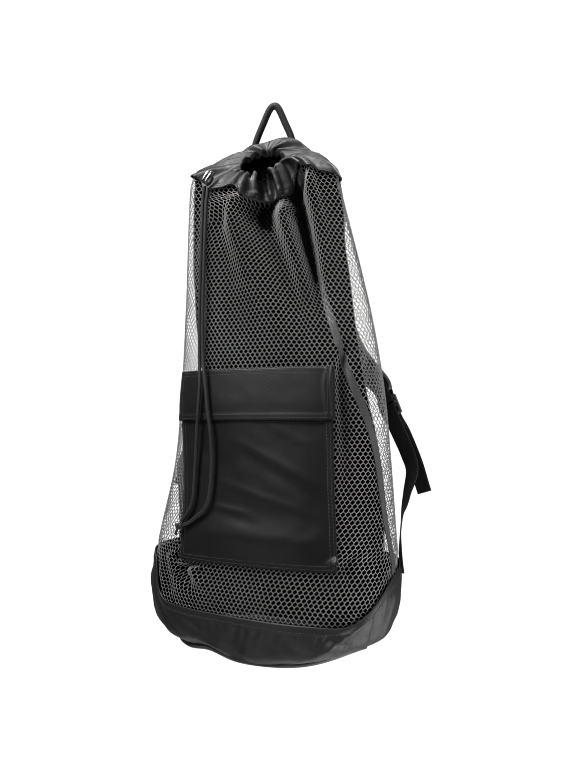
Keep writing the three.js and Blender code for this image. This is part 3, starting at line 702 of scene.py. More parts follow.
# %% Cords and knot
CORD_LEFT = table(
    "height across forward",
    (538, -66.5, 9), (523, -69.7, 8), (493, -72.6, 8), (451, -75.9, 8), (403, -78.7, 8), (362, -78.7, 8),
    (332, -76.9, 9), (303, -73.4, 11.5), (275, -73.7, 12), (252, -74.2, 11), (224, -73.3, 10),
    (196, -70.9, 10), (177, -68.8, 9.5), (164, -70.8, 9), (155, -76, 8.5), (148.4, -80.8, 8.5),
)
CORD_RIGHT = table(
    "height across forward",
    (535, -61.2, 8.6), (519, -65, 8), (492, -68.1, 8), (450, -71.4, 8), (402, -74.2, 8), (361, -74.2, 8),
    (332, -71.6, 9), (303, -65.5, 11.5), (274, -60, 12), (250, -54.6, 11.5), (224, -50.5, 10.5),
    (194, -47.1, 10.5), (176, -46.5, 10), (164, -50.5, 9.5), (154, -61, 9), (147.5, -70, 8.5),
    (144.6, -77.4, 8.5),
)
CORD_RADIUS = 2.0
KNOT = {"height": 143.0, "across": -83.0, "forward": 8.5, "cord": 3.6, "tail": 3.2}
KNOT_TURNS, KNOT_REACH, KNOT_DRIFT = 2, (3.12, 2.9, 3.0), 0.2
TAIL_START = (-1.5, 0, -2.0)
TAIL_BENDS = ((0, 0, 0), (-2.5, -0.5, -5), (-3, -0.5, -9))


def cord_line(rows, steps):
    return smooth_line(front_point(rows["height"], rows["across"], rows["forward"]), steps)


knot_place = front_point(KNOT["height"], KNOT["across"], KNOT["forward"])
wrap_turn = np.linspace(0, 2 * math.pi * KNOT_TURNS, 60)
wrap = np.stack((
    np.cos(wrap_turn / 2),
    np.sin(wrap_turn),
    np.cos(wrap_turn) * np.cos(KNOT_DRIFT * wrap_turn),
), -1) * KNOT_REACH
knot = tube("cord_knot", knot_place + wrap, KNOT["cord"], KNOT["cord"], 12, round_ends=3)
tail = smooth_line(knot_place + TAIL_START + np.array(TAIL_BENDS), 14)
tail = tube("cord_knot_tail", tail, KNOT["tail"], KNOT["tail"], 12, round_ends=3)
knot = join("cord_knot", [knot, tail])
dress(knot, BRAID, "cord", "drawcord_knot")

for name, rows in (("drawcord_left", CORD_LEFT), ("drawcord_right", CORD_RIGHT)):
    route = cord_line(rows, 150)
    cord = dress(tube("cord_" + name, route, 2 * CORD_RADIUS, 2 * CORD_RADIUS, 14), BRAID, "cord", name)
    run = line_length(route)[-1] / 1000.0
    tuple(metres(route[0]))
    [tuple(p) for p in metres(route)]
    print(name, "length", round(run, 3), "m")

# %% [markdown]
# The net has sharper folds of its own besides the bag's, and they fade out again beyond their roots.
# All that lies on the net is draped over both kinds. Both are held flat near the rim of the base, and
# the net's edges are tucked in under the rim and the collar. Little light gets into the folds, so shade
# is painted into the yarn's colour: it darkens towards black with their depth.

# %% Folds of the net
# Painted shade in the folds: the attribute that holds it and the near-black colour the yarn is mixed
# towards.
FOLD_SHADE, FOLD_SHADE_BLACK = "fold_shade", (0.002, 0.002, 0.002, 1)
NET_TUCK, TUCK_FROM, TUCK_FULL = 1.9, 16, 1
CREASE_FADE, HELD_BELOW = 0.35, 18
NET_CREASES = table(
    "root_height tip_height root_angle tip_angle width depth",
    (515, 330, 19, 32, 5, -28),
    (490, 310, 11, 31, 5, 13),
    (560, 380, 28, 46, 5, 5),
    (500, 300, 0.5, 20, 6, -17),
    (500, 290, -12.5, 16, 6.5, 16),
    (480, 310, -24, -6, 7, -8),
    (520, 380, -30, -24, 8, 4),
    (535, 455, -38, -34, 4, -3),
    (556, 470, 38, 44, 4, -3),
    (553, 460, 56, 60, 7, 3),
    (548, 440, 72, 76, 7, -3),
    (560, 440, -62, -64, 6, 3),
    (94, 60, -23, -13, 3.2, -12),
    (94, 64, -16, -3, 3, 7),
    (104, 56, -34, -24, 4, 4),
    (112, 60, 41, 49, 4, 5),
    (112, 60, 48, 57, 4, -5),
    (66, 100, 12, 10, 6, 3),
    (66, 96, 27, 28, 5, -3),
    (300, 100, 34, 43, 3, 6),
    (310, 120, 41, 50, 4.5, -10),
    (330, 180, 58, 64, 5, 4),
    (520, 265, 98, 108, 24, -12),
)


# Painted shade: the yarn's colour is mixed towards near-black by its fold_shade attribute.
def paint_fold_shade(material):
    tree = material.node_tree
    shader = tree.nodes["Principled BSDF"]
    deep = tree.nodes.new("ShaderNodeAttribute")
    deep.attribute_name = FOLD_SHADE
    mixed = tree.nodes.new("ShaderNodeMix")
    mixed.data_type = "RGBA"
    mixed.inputs["B"].default_value = FOLD_SHADE_BLACK
    tree.links.new(deep.outputs["Fac"], mixed.inputs["Factor"])
    tree.links.new(shader.inputs["Base Color"].links[0].from_socket, mixed.inputs["A"])
    tree.links.new(mixed.outputs["Result"], shader.inputs["Base Color"])


paint_fold_shade(YARN)


def seam_angle(side, height):
    return follow(SIDE_SEAMS, "height", side, height)


def panel_angle(side, height):
    shift = side * follow(PANEL, "height", "shift", height)
    share = (follow(PANEL, "height", "half_width", height) + shift) / section("half_width", height)
    return side * (180 - np.degrees(np.arcsin(np.minimum(share, 0.99) ** (section("square", height) / 2))))


def net_lift(angle, height):
    low = smooth_step(TUCK_FROM, TUCK_FULL, height - rim_height(angle))
    high = smooth_step(TUCK_FROM, TUCK_FULL, collar_seam(angle) - height)
    return -NET_TUCK * np.maximum(low, high)


def folds_at(angle, height):
    held = smooth_step(0, HELD_BELOW, height - rim_height(np.clip(angle, -180, 180)))
    return held * (fold_lift(angle, height, FOLDS) + fold_lift(angle, height, NET_CREASES, CREASE_FADE))


def drape(angle, height, lift=0.0):
    return plain_form(angle, height) + outward(angle, height) * (folds_at(angle, height) + lift)[..., None]


def net_form(angle, height, lift=0.0):
    return drape(angle, height, net_lift(angle, height) + lift)


print("deepest fold", float(NET_CREASES["depth"].min()), "mm")

# %% [markdown]
# The net is knitted: rows of six-sided holes, each row half a hole along from the one below. Blender
# can make it from a plain grid. Every second upright edge is dissolved, which leaves bricks, and the
# level edges then zigzag, which turns the bricks into six-sided cells.

# %% A flat net
PITCH, ROW, ZIGZAG = 5.8, 4.2, 2.4
NET_FOOT, NET_HEAD = 40.0, 570.0
ANGLES = np.linspace(-215, 215, 1721)


def run_round(height, middle):
    run = line_length(net_form(ANGLES, np.full_like(ANGLES, height)))
    return run - np.interp(middle, ANGLES, run)


def select_only(obj, kind, elements, chosen):
    make_active(obj)
    bpy.ops.object.mode_set(mode="EDIT")
    bpy.ops.mesh.select_mode(type=kind)
    bpy.ops.mesh.select_all(action="DESELECT")
    bpy.ops.object.mode_set(mode="OBJECT")
    getattr(obj.data, elements).foreach_set("select", chosen)
    bpy.ops.object.mode_set(mode="EDIT")


def grid_steps(obj, columns, rows):
    flat = read_points(obj)
    across = np.rint((flat[:, 0] + 0.5) * columns).astype(int)
    return across, np.rint((flat[:, 1] + 0.5) * rows).astype(int)


def brick_grid(name, columns, rows):
    obj = flat_grid(name, columns, rows)
    i, j = grid_steps(obj, columns, rows)
    pairs = np.empty(len(obj.data.edges) * 2, dtype=np.int32)
    obj.data.edges.foreach_get("vertices", pairs)
    a, b = pairs.reshape(-1, 2).T
    upright = i[a] == i[b]
    select_only(obj, "EDGE", "edges", upright & ((i[a] + np.minimum(j[a], j[b])) % 2 == 1))
    bpy.ops.mesh.dissolve_edges(use_verts=False)
    bpy.ops.object.mode_set(mode="OBJECT")
    return obj


def flat_net(name, left_edge, right_edge, middle):
    reach = []
    for height in np.linspace(NET_FOOT, NET_HEAD, 28):
        run = run_round(height, middle)
        reach.append([np.interp(edge(height), ANGLES, run) for edge in (left_edge, right_edge)])
    first = int(min(low for low, _ in reach) / (PITCH / 2)) - 3
    columns = int(max(high for _, high in reach) / (PITCH / 2)) + 3 - first
    rows = int((NET_HEAD - NET_FOOT) / ROW)
    obj = brick_grid(name, columns, rows)
    i, j = grid_steps(obj, columns, rows)
    height = NET_FOOT + j * ROW + np.where((i + j) % 2 == 0, ZIGZAG / 2, -ZIGZAG / 2)
    return obj, (first + i) * PITCH / 2, height


print("a hole is", PITCH, "by", ROW, "mm")

# %% [markdown]
# The flat net is laid on the bag by its length round each height, so the cells keep their size over
# the folds, and it is trimmed to its panel. The Wireframe modifier turns its edges into strands, and
# the deepest strands get a near-black copy of the yarn, as painted shade.

# %% Net panels
STRAND, NET_CUT = 0.9, 0.50
SHADE_FROM, SHADE_FULL, DEEP_SHADE = 2, 22, 0.8
UNDER_RIM, UNDER_COLLAR = 6, 5
SEAM_LAP, PANEL_LAP = 0.6, 2.0


def lay_net(obj, along, height, left_edge, right_edge, middle):
    angle = np.empty(len(height))
    for level in np.unique(height):
        at = height == level
        angle[at] = np.interp(along[at], run_round(level, middle), ANGLES)
    turned = wrap_angle(angle)
    write_points(obj, metres(net_form(angle, height)))
    # Painted shade: how far the yarn here is darkened, taken from the depth of the folds.
    shade = obj.data.attributes.new(FOLD_SHADE, "FLOAT", "POINT")
    shade.data.foreach_set("value", smooth_step(SHADE_FROM, SHADE_FULL, -folds_at(turned, height)))
    keep = (angle > left_edge(height)) & (angle < right_edge(height))
    keep &= (height > rim_height(turned) - UNDER_RIM) & (height < collar_seam(turned) + UNDER_COLLAR)
    gone = np.array([not keep[list(face.vertices)].all() for face in obj.data.polygons])
    select_only(obj, "FACE", "polygons", gone)
    bpy.ops.mesh.delete(type="FACE")
    bpy.ops.mesh.select_mode(type="VERT")
    bpy.ops.object.mode_set(mode="OBJECT")
    return int((~gone).sum())


def make_strands(obj):
    apply_modifier(obj, "WIREFRAME", thickness=STRAND / 1000.0, use_even_offset=False, use_boundary=True)
    depth = np.empty(len(obj.data.vertices))
    obj.data.attributes[FOLD_SHADE].data.foreach_get("value", depth)
    for yarn in (YARN, SHADED_YARN):
        obj.data.materials.append(yarn)
    # Painted shade: the strands in the deepest folds take the near-black copy of the yarn.
    deepest = [int(depth[face.vertices[0]] > DEEP_SHADE) for face in obj.data.polygons]
    obj.data.polygons.foreach_set("material_index", deepest)


def net_panel(node, left_edge, right_edge, middle):
    obj, along, height = flat_net("knit_" + node, left_edge, right_edge, middle)
    cells = lay_net(obj, along, height, left_edge, right_edge, middle)
    make_strands(obj)
    dress(obj, YARN, "net", node, inside=SHADED_YARN)


net_panel(
    "net_front",
    lambda h: seam_angle("left", h) - SEAM_LAP, lambda h: seam_angle("right", h) + SEAM_LAP, 0.0,
)
net_panel(
    "net_right",
    lambda h: seam_angle("right", h) - SEAM_LAP, lambda h: panel_angle(1, h) + PANEL_LAP, 75.0,
)
net_panel(
    "net_left",
    lambda h: panel_angle(-1, h) - PANEL_LAP, lambda h: seam_angle("left", h) + SEAM_LAP, -75.0,
)

# %% [markdown]
# The base is one strip of nylon sewn into a ring, from the piping up to a hemmed rim. It sags over
# the piping, so it has soft crumples, a row of puckers under the hem where the net pulls, and a few
# sharp creases. Each crease is a line on the strip with a width and a depth. The foot is raised at two
# places and bulges over the piping at the front.

# %% Base wall
BASE_FOOT, HEM_THICK, HEM_FROM, HEM_FULL = 6.0, 0.9, 9.5, 8.2
FOOT_SAG = {"middle": 22, "width": 18, "by": 4.0}
BULGE = {"middle": 14, "width": 24, "by": 3.5}
PUCKER = {"middle": 22, "width": 38, "least": 0.35, "depth": 1.1, "fade": 13}
PUCKER_WAVE = {"rate": 1.55, "sway": 2.2, "sway_rate": 0.21}
MM_PER_DEGREE, CREASE_END, CREASE_EDGE = 2.1, 0.05, 1.4
FOOT_RAISE = table("angle width by", (82, 32, 12), (-14, 14, 7))
BASE_CREASES = table(
    "from_angle from_height to_angle to_height width depth",
    (62, 60, 38, 16, 8, 5),
    (40, 40, 56, 30, 6, -2.5),
    (70, 70, 74, 16, 5, -2),
    (10, 5, 0, 22, 5, -2),
    (-22, 40, -6, 22, 6, -1.8),
    (-45, 52, -28, 18, 7, -2.2),
    (20, 38, 32, 20, 6, -1.6),
    (-62, 85, -52, 35, 6, -2),
    (90, 86, 84, 25, 7, 2),
    (110, 80, 100, 20, 8, -2.5),
    (150, 90, 165, 30, 9, -2.5),
    (-120, 85, -105, 30, 8, -2.5),
    (-160, 90, -150, 30, 9, 2),
)


def beside_line(spots, start, end):
    way = end - start
    spots = spots - start
    t = np.clip(spots @ way / (way @ way), 0, 1)
    return t, np.linalg.norm(spots - t[:, None] * way, axis=1)


def taper(t, end):
    return np.sin(np.pi * (end + (1 - 2 * end) * t))


def crease_lift(angle, height):
    lift = np.zeros(len(angle))
    for crease in rows_of(BASE_CREASES):
        start = np.array((crease["from_angle"] * MM_PER_DEGREE, crease["from_height"]))
        end = np.array((crease["to_angle"] * MM_PER_DEGREE, crease["to_height"]))
        t, off = beside_line(np.stack((angle * MM_PER_DEGREE, height), -1), start, end)
        depth = crease["depth"] * np.sqrt(taper(t, CREASE_END))
        lift += depth * np.exp(-np.abs(off / crease["width"]) ** CREASE_EDGE)
    return lift


def foot_raise(angle):
    return sum(spot["by"] * bell(angle, spot["angle"], spot["width"]) for spot in rows_of(FOOT_RAISE))


def pucker_lift(angle, below):
    pull = bell(angle, PUCKER["middle"], PUCKER["width"]) + PUCKER["least"]
    sway = PUCKER_WAVE["sway"] * np.sin(angle * PUCKER_WAVE["sway_rate"])
    wave = np.sin(angle * PUCKER_WAVE["rate"] + sway)
    return PUCKER["depth"] * pull * wave * np.exp(-below / PUCKER["fade"]) * smooth_step(4, 14, below)


def base_place(u, v):
    angle = 360 * u - 180
    rim = rim_height(angle)
    foot = BASE_FOOT - FOOT_SAG["by"] * bell(angle, FOOT_SAG["middle"], FOOT_SAG["width"])
    height = foot + (rim - foot) * v
    below = rim - height
    hem = HEM_THICK * smooth_step(HEM_FROM, HEM_FULL, below)
    plain = plain_form(angle, height)
    soft = crumple(plain, size=46.0, depth=2.0, seed=3.1) + crumple(plain, size=17.0, depth=0.35, seed=8.4)
    inside = smooth_step(0, 10, below) * smooth_step(0, 0.12, v)
    over = BULGE["by"] * bell(angle, BULGE["middle"], BULGE["width"]) * smooth_step(0.5, 0.0, v)
    lift = hem + pucker_lift(angle, below) + over + (soft + crease_lift(angle, height)) * inside
    place = plain + outward(angle, height) * lift[:, None]
    place[:, 2] += foot_raise(angle) * (1 - v) ** 1.5
    return place


base_wall = cloth_sheet("nylon_base_wall", 360, 34, base_place, size=(0.80, 0.09), thick=1.5, closed=True)
dress(base_wall, NYLON, "nylon", "base_wall", inside=SHADED_INSIDE)

# %% [markdown]
# The collar is a nylon band sewn to the top of the net. Its hem holds the drawcord, and the cord is
# drawn in, so the band leans inwards in uneven pleats round a small tilted mouth. The strip is laid
# from its seam, over the crest, to the lip, and then a short way down inside, because the hem shows
# there. A table of pleats pushes it out and in, and the pleats grow from the seam to the lip.

# %% Collar
MOUTH = {"x": -15.0, "y": -1.0, "height": 569.0, "half_width": 27.0, "half_depth": 18.0, "tilt": 21.5}
CREST_SHARE = 0.6
LIP_INSIDE = {"share": 0.12, "out": 2.5, "down": 7.0}
COLLAR_HEMS = table("start full lift", (0.13, 0.11, 0.8), (0.76, 0.78, 0.9))
PLEATS = table(
    "angle width foot lip",
    (-176, 6, 0, -2), (-162, 6, 0, 2), (-148, 6, 0, -2), (-134, 7, 0, 2), (-112, 8, 0, -2),
    (-90, 9, 0, 1.5), (-66, 8, 0, -1.5), (-45, 7, 0, -1), (-32, 9, 1, 1), (-19, 2.5, 0, -2),
    (-15, 2, 0, 2), (-11.5, 1.6, -3, -2.5),
    (-7.9, 1.5, 3.5, 2.5), (-4.8, 1.4, -4, -3), (-2, 1.2, 5, 3), (0.6, 1.1, -4, -3), (3, 1.2, 4, 2.5),
    (5.6, 1.3, -4, -3), (8.4, 1.5, 4, 2.5), (11.5, 1.5, -5, -3), (15, 1.8, 3.5, 2), (19, 2.2, -4, -2.5),
    (25, 4, 1, 2), (36, 5, 0, -1.2), (52, 7, 0, 0.8), (74, 8, 0, -0.8), (98, 8, 0, 1),
    (116, 7, 0, -1.5), (132, 6, 0, 2), (146, 6, 0, -2), (158, 5, 0, 2), (170, 6, 0, -2),
)
LIP_TURN = table(
    "angle turn",
    (-180, -180), (-130, -145), (-80, -112), (-40, -84), (-18, -58), (0, 0), (18, 58), (40, 84), (80, 112),
    (130, 145), (180, 180),
)


def collar_plain(u, v):
    angle = 360 * u - 180
    turn = np.radians(np.interp(wrap_angle(angle), LIP_TURN["angle"], LIP_TURN["turn"]))
    seam = collar_seam(angle)
    foot = drape(angle, seam, 0.6)
    lip = np.stack((
        MOUTH["x"] + MOUTH["half_width"] * np.sin(turn),
        MOUTH["y"] - MOUTH["half_depth"] * np.cos(turn),
        MOUTH["height"] - MOUTH["tilt"] * np.cos(turn),
    ), -1)
    lean = follow(COLLAR, "angle", "lean", angle)[:, None]
    crest = foot + (lip - foot) * lean
    crest[:, 2] = follow(COLLAR, "angle", "crest", angle)
    s, t = CREST_SHARE, np.minimum(v, 1.0)[:, None]
    point = foot * (t - s) * (t - 1) / s + crest * t * (t - 1) / (s * (s - 1)) + lip * t * (t - s) / (1 - s)
    inside = np.clip((v - 1) / LIP_INSIDE["share"], 0, 1)[:, None]
    way = np.stack((np.sin(turn), -np.cos(turn), np.zeros_like(turn)), -1)
    return point + way * LIP_INSIDE["out"] * inside - np.array((0, 0, LIP_INSIDE["down"])) * inside


def sheet_normals(place, u, v, step=0.004):
    along = place(u + step, v) - place(u - step, v)
    up = place(u, v + step) - place(u, v - step)
    return unit(np.cross(along, up))


def pleat_lift(angle, v):
    lift = np.zeros(len(angle))
    t = np.minimum(v, 1.0)
    for pleat in rows_of(PLEATS):
        off = wrap_angle(angle - pleat["angle"])
        lift += (pleat["foot"] * (1 - t) ** 2 + pleat["lip"] * t) * bell(off, 0, pleat["width"])
    return lift


def collar_place(u, v):
    v = v * (1 + LIP_INSIDE["share"])
    angle = 360 * u - 180
    plain = collar_plain(u, v)
    way = sheet_normals(collar_plain, u, np.clip(v, 0.02, 0.97))
    soft = crumple(plain, size=26.0, depth=1.1, seed=5.2) + crumple(plain, size=9.0, depth=0.3, seed=1.4)
    hem = sum(row["lift"] * smooth_step(row["start"], row["full"], v) for row in rows_of(COLLAR_HEMS))
    lift = pleat_lift(angle, v) * smooth_step(0.0, 0.1, v) + soft * smooth_step(0, 0.15, v) + hem
    return plain + way * lift[:, None]


collar = cloth_sheet("nylon_collar", 360, 40, collar_place, size=(0.40, 0.075), thick=1.3, closed=True)
dress(collar, NYLON, "nylon", "collar", inside=SHADED_INSIDE)

# %% [markdown]
# The patch pocket and its flap are flat nylon on the front of the net. The sheet stands a little off
# the net in its middle, and more so near its foot. Long soft wrinkles cross it, each a line in the
# pocket's own width and height, and the flap's lower hem is folded over, so it stands a little thicker
# there.

# %% Pocket and flap
POCKET_EDGES = table(
    "height left right",
    (105, -78.5, 112), (150, -83, 101), (200, -93.5, 90), (262, -105, 83), (320, -107.5, 79.5),
)
POCKET_FOOT, POCKET_TOP, FLAP_FOOT, FLAP_TOP = 105.0, 285.0, 262.0, 320.0
POCKET_SEAT, POCKET_RISE, POCKET_BELLY, FLAP_SEAT = 2.3, 1.5, 6.0, 2.2
POCKET_SIZE, FLAP_SIZE, FLAP_LAP = (186, 180), (188, 58), 0.012
BELLY_FROM, BELLY_FULL, POCKET_ROUND, WRINKLE_END = 172, 126, 0.6, 0.06
HEM_LIFT, SIDE_HEM_LIFT, SIDE_HEM_FROM, SIDE_HEM_FULL = 0.5, 0.4, 6.5, 5.5
FLAP_HEM_FROM, FLAP_HEM_FULL, FLAP_BEND_FROM, FLAP_BEND = 8.5, 6.0, 0.3, 1.4
WRINKLES = table(
    "from_u from_v to_u to_v width depth",
    (0.40, 0.76, 0.98, 0.46, 6, 0.9), (0.46, 0.68, 0.95, 0.38, 7, -0.7),
    (0.30, 0.50, 0.92, 0.31, 5, 0.8), (0.20, 0.36, 0.50, 0.31, 4, 0.9), (0.26, 0.30, 0.60, 0.24, 6, -0.6),
    (0.24, 0.08, 0.54, 0.05, 4, 0.8), (0.05, 0.80, 0.30, 0.60, 8, -0.5), (0.10, 0.20, 0.16, 0.70, 7, 0.5),
    (0.70, 0.10, 0.96, 0.22, 7, 0.5), (0.60, 0.86, 0.90, 0.72, 6, 0.5),
)


def pocket_spot(u, height):
    left = follow(POCKET_EDGES, "height", "left", height)
    right = follow(POCKET_EDGES, "height", "right", height)
    return angle_across(left + (right - left) * u, height)


def wrinkle_lift(u, v):
    lift = np.zeros(len(u))
    spots = np.stack((u, v), -1) * POCKET_SIZE
    for line in rows_of(WRINKLES):
        start = np.array((line["from_u"], line["from_v"])) * POCKET_SIZE
        end = np.array((line["to_u"], line["to_v"])) * POCKET_SIZE
        t, off = beside_line(spots, start, end)
        lift += line["depth"] * taper(t, WRINKLE_END) * bell(off, 0, line["width"])
    return lift


def edge_distance(u, v, size):
    return np.minimum(np.minimum(u, 1 - u) * size[0], v * size[1])


def pocket_lift(u, height):
    rise = POCKET_RISE + POCKET_BELLY * smooth_step(BELLY_FROM, BELLY_FULL, height)
    return POCKET_SEAT + rise * np.sin(np.pi * np.clip(u, 0, 1)) ** POCKET_ROUND


def pocket_place(u, v):
    height = POCKET_FOOT + (POCKET_TOP - POCKET_FOOT) * v
    angle = pocket_spot(u, height)
    edge = edge_distance(u, v, POCKET_SIZE)
    soft = crumple(plain_form(angle, height), size=70.0, depth=1.4, seed=7.7)
    settle = smooth_step(0, 22, edge)
    seated = POCKET_SEAT + (pocket_lift(u, height) - POCKET_SEAT) * smooth_step(0, 0.2, v)
    hem = HEM_LIFT * smooth_step(SIDE_HEM_FROM, SIDE_HEM_FULL, edge)
    lift = seated + (wrinkle_lift(u, v) + soft) * settle + hem
    return drape(angle, height, lift)


def flap_place(u, v):
    height = FLAP_FOOT + (FLAP_TOP - FLAP_FOOT) * v
    angle = pocket_spot(-FLAP_LAP + (1 + 2 * FLAP_LAP) * u, height)
    seat = pocket_lift(u, height) + FLAP_SEAT
    bend = np.clip((v - FLAP_BEND_FROM) / (1 - FLAP_BEND_FROM), 0, 1) ** FLAP_BEND
    lift = seat + (POCKET_SEAT - seat) * bend
    edge = edge_distance(u, v, FLAP_SIZE)
    soft = crumple(plain_form(angle, height), size=60.0, depth=0.7, seed=2.9)
    beside = np.minimum(u, 1 - u) * FLAP_SIZE[0]
    hem = HEM_LIFT * smooth_step(FLAP_HEM_FROM, FLAP_HEM_FULL, v * FLAP_SIZE[1])
    hem = hem + SIDE_HEM_LIFT * smooth_step(SIDE_HEM_FROM, SIDE_HEM_FULL, beside)
    return drape(angle, height, lift + soft * smooth_step(0, 16, edge) + hem)


pocket = cloth_sheet("nylon_pocket", 150, 130, pocket_place, size=(0.186, 0.18), thick=1.1)
dress(pocket, POCKET_NYLON, "nylon", "pocket", inside=SHADED_INSIDE)
flap = cloth_sheet("nylon_pocket_flap", 150, 44, flap_place, size=(0.188, 0.058), thick=1.3)
dress(flap, POCKET_NYLON, "nylon", "pocket_flap", inside=SHADED_INSIDE)

# %% [markdown]
# Behind the net is the plain back panel, a thicker cloth between the two rear edges of the net, which
# is tucked under the collar. A ribbed tape covers the seam at each side of the front. Higher up it is
# sunk in a fold, just behind the strands.

# %% Back panel and seam tapes
TAPE_WIDTH, TAPE_THICK, TAPE_LIFT, TAPE_SUNK = 9.0, 1.0, 1.0, 2.6
TAPE_FOOT = {"left": 324.0, "right": 0.0}
TAPE_RIB = {"height": 0.35, "pitch": 2.6, "groove": 0.5, "groove_width": 0.07}
TAPE_ENDS, TAPE_SPARE, SUNK_FROM, SUNK_FULL = (104.0, 550.0), 1.5, 345, 400
PANEL_ENDS, PANEL_SPARE, PANEL_TUCK, TUCK_DEPTH = (100, 560), 0.6, 3.4, 1.9
SETTLE_ROUNDS = 4


def back_place(u, v):
    height = PANEL_ENDS[1] * v + PANEL_ENDS[0] * (1 - v)
    for _ in range(SETTLE_ROUNDS):
        start, end = panel_angle(1, height), 360 + panel_angle(-1, height)
        turned = wrap_angle(start + (end - start) * u)
        high = collar_seam(turned) - rim_height(turned) + PANEL_TUCK
        height = rim_height(turned) + PANEL_SPARE + high * v
    soft = crumple(plain_form(turned, height), size=60.0, depth=3.0, seed=4.4)
    for share in (u, v):
        soft = soft * smooth_step(0, 0.06, share) * smooth_step(1, 0.94, share)
    tucked = TUCK_DEPTH * smooth_step(1.0, 3.0, height - collar_seam(turned) + 3.0)
    return drape(turned, height, soft - tucked)


back_panel = cloth_sheet("nylon_back_panel", 70, 150, back_place, size=(0.18, 0.45), thick=2.6)
dress(back_panel, NYLON, "nylon", "back_panel", inside=SHADED_INSIDE)


def tape_place(side, low, high):
    def place(u, v):
        height = low + (high - low) * v
        angle = seam_angle(side, height)
        per_degree = np.linalg.norm(net_form(angle + 1, height) - net_form(angle - 1, height), axis=-1) / 2
        half_turn = np.where(u < 0.5, 0, np.pi)
        ribs = TAPE_RIB["height"] * np.sin(height * 2 * np.pi / TAPE_RIB["pitch"] + half_turn)
        groove = TAPE_RIB["groove"] * bell(u, 0.5, TAPE_RIB["groove_width"])
        sunk = TAPE_SUNK * smooth_step(SUNK_FROM, SUNK_FULL, height)
        across = (u - 0.5) * TAPE_WIDTH / per_degree
        return net_form(angle + across, height, TAPE_LIFT - sunk + ribs - groove)
    return place


for side in ("left", "right"):
    low, high = TAPE_ENDS
    for _ in range(SETTLE_ROUNDS):
        low = float(rim_height(seam_angle(side, low))) + TAPE_SPARE
        high = float(collar_seam(seam_angle(side, high))) - TAPE_SPARE
    tape_at = tape_place(side, max(low, TAPE_FOOT[side]), high)
    tape = cloth_sheet("tape_" + side, 10, 420, tape_at, size=(0.009, 0.45), thick=TAPE_THICK)
    dress(tape, TAPE, "webbing", "seam_tape_" + side)

# %% [markdown]
# Under the base lies a flat nylon panel with a round piping sewn along its edge. The panel is a grid
# bent round into a disc: across the grid is round the panel, and up the grid is from its edge to its
# middle. Both rise with the foot of the base.

# %% Piping and bottom panel
PIPING_RADIUS, PIPING_HEIGHT, BOTTOM_THICK, TURN_UP, TURN_SHARE = 2.4, 2.6, 2.0, 9.0, 0.1
PIPING_WAVE = {"height": 0.25, "count": 7}
BOTTOM_SLACK = {"height": 0.35, "x": 17, "y": 13}


def base_outline(angle, inset):
    edge = plain_form(angle, np.full_like(angle, SECTIONS["height"][0]))
    middle = np.array((SECTIONS["sway"][0], 0.0, SECTIONS["height"][0]))
    edge = edge - unit((edge - middle) * (1, 1, 0)) * inset
    edge[:, 2] += foot_raise(angle)
    return edge


def bottom_place(u, v):
    angle = 360 * u - 180
    edge = base_outline(angle, PIPING_RADIUS + 0.8)
    middle = np.array((SECTIONS["sway"][0], 0.0, 0.0))
    point = middle + (edge - middle) * np.minimum(1.0, (1 - v) / (1 - TURN_SHARE))[:, None]
    raised = foot_raise(angle) * smooth_step(0.5, 0.0, v)
    turned_up = TURN_UP * np.clip(1 - v / TURN_SHARE, 0, 1)
    waves = np.sin(point[:, 0] / BOTTOM_SLACK["x"]) * np.sin(point[:, 1] / BOTTOM_SLACK["y"])
    slack = BOTTOM_SLACK["height"] * waves * smooth_step(0, 0.2, v)
    point[:, 2] = raised + turned_up + BOTTOM_THICK / 2 + 0.2 + slack
    return point


ring_angle = np.linspace(-180, 180, 241)
ring = base_outline(ring_angle, 0.0)
ring_wave = PIPING_WAVE["height"] * np.sin(np.radians(ring_angle) * PIPING_WAVE["count"])
ring[:, 2] = PIPING_HEIGHT + foot_raise(ring_angle) + ring_wave
piping = tube("piping_ring", ring, 2 * PIPING_RADIUS, 2 * PIPING_RADIUS, 14, hint=(0, 0, 1), closed=True)
dress(piping, TAPE, "webbing", "base_piping")
bottom = cloth_sheet("nylon_bottom_panel", 160, 30, bottom_place, size=(0.64, 0.11), thick=1.2, closed=True)
dress(bottom, NYLON, "nylon", "bottom_panel", inside=SHADED_INSIDE)

# %% [markdown]
# The haul loop is one length of webbing rolled into a thick band. It comes up out of the back of the
# collar on two straight legs and bends over the peg in a narrow top.

# %% Haul loop
LOOP_LINE = table(
    "x y height",
    (-39, 31.1, 566), (-38.5, 30.6, 588), (-34, 28.8, 606), (-24, 26.5, 626), (-14.5, 24.4, 642.3),
    (-11.3, 24, 645.3), (-8.5, 24, 646), (-5.7, 24, 645.3), (-2.7, 24.4, 641.5), (4.5, 26.5, 625),
    (11.5, 28.8, 608), (15.5, 30.6, 588), (16, 31.1, 566),
)
LOOP_WIDTH, LOOP_DEPTH = 6.5, 8.4


def spots_of(tab):
    return np.stack((tab["x"], tab["y"], tab["height"]), -1)


loop_line = smooth_line(spots_of(LOOP_LINE), 150)
haul_loop = tube("webbing_haul_loop", loop_line, LOOP_WIDTH, LOOP_DEPTH, 22, hint=(0, 1, 0.3))
dress(haul_loop, WEBBING, "webbing", "haul_loop")

# %% [markdown]
# The cord lock is a small moulded barrel with a push button and a bright clip of two bars. The barrel
# is turned from a profile: a grid is rolled round, each of its rows takes one radius, and the whole is
# then tilted to lie on the collar.

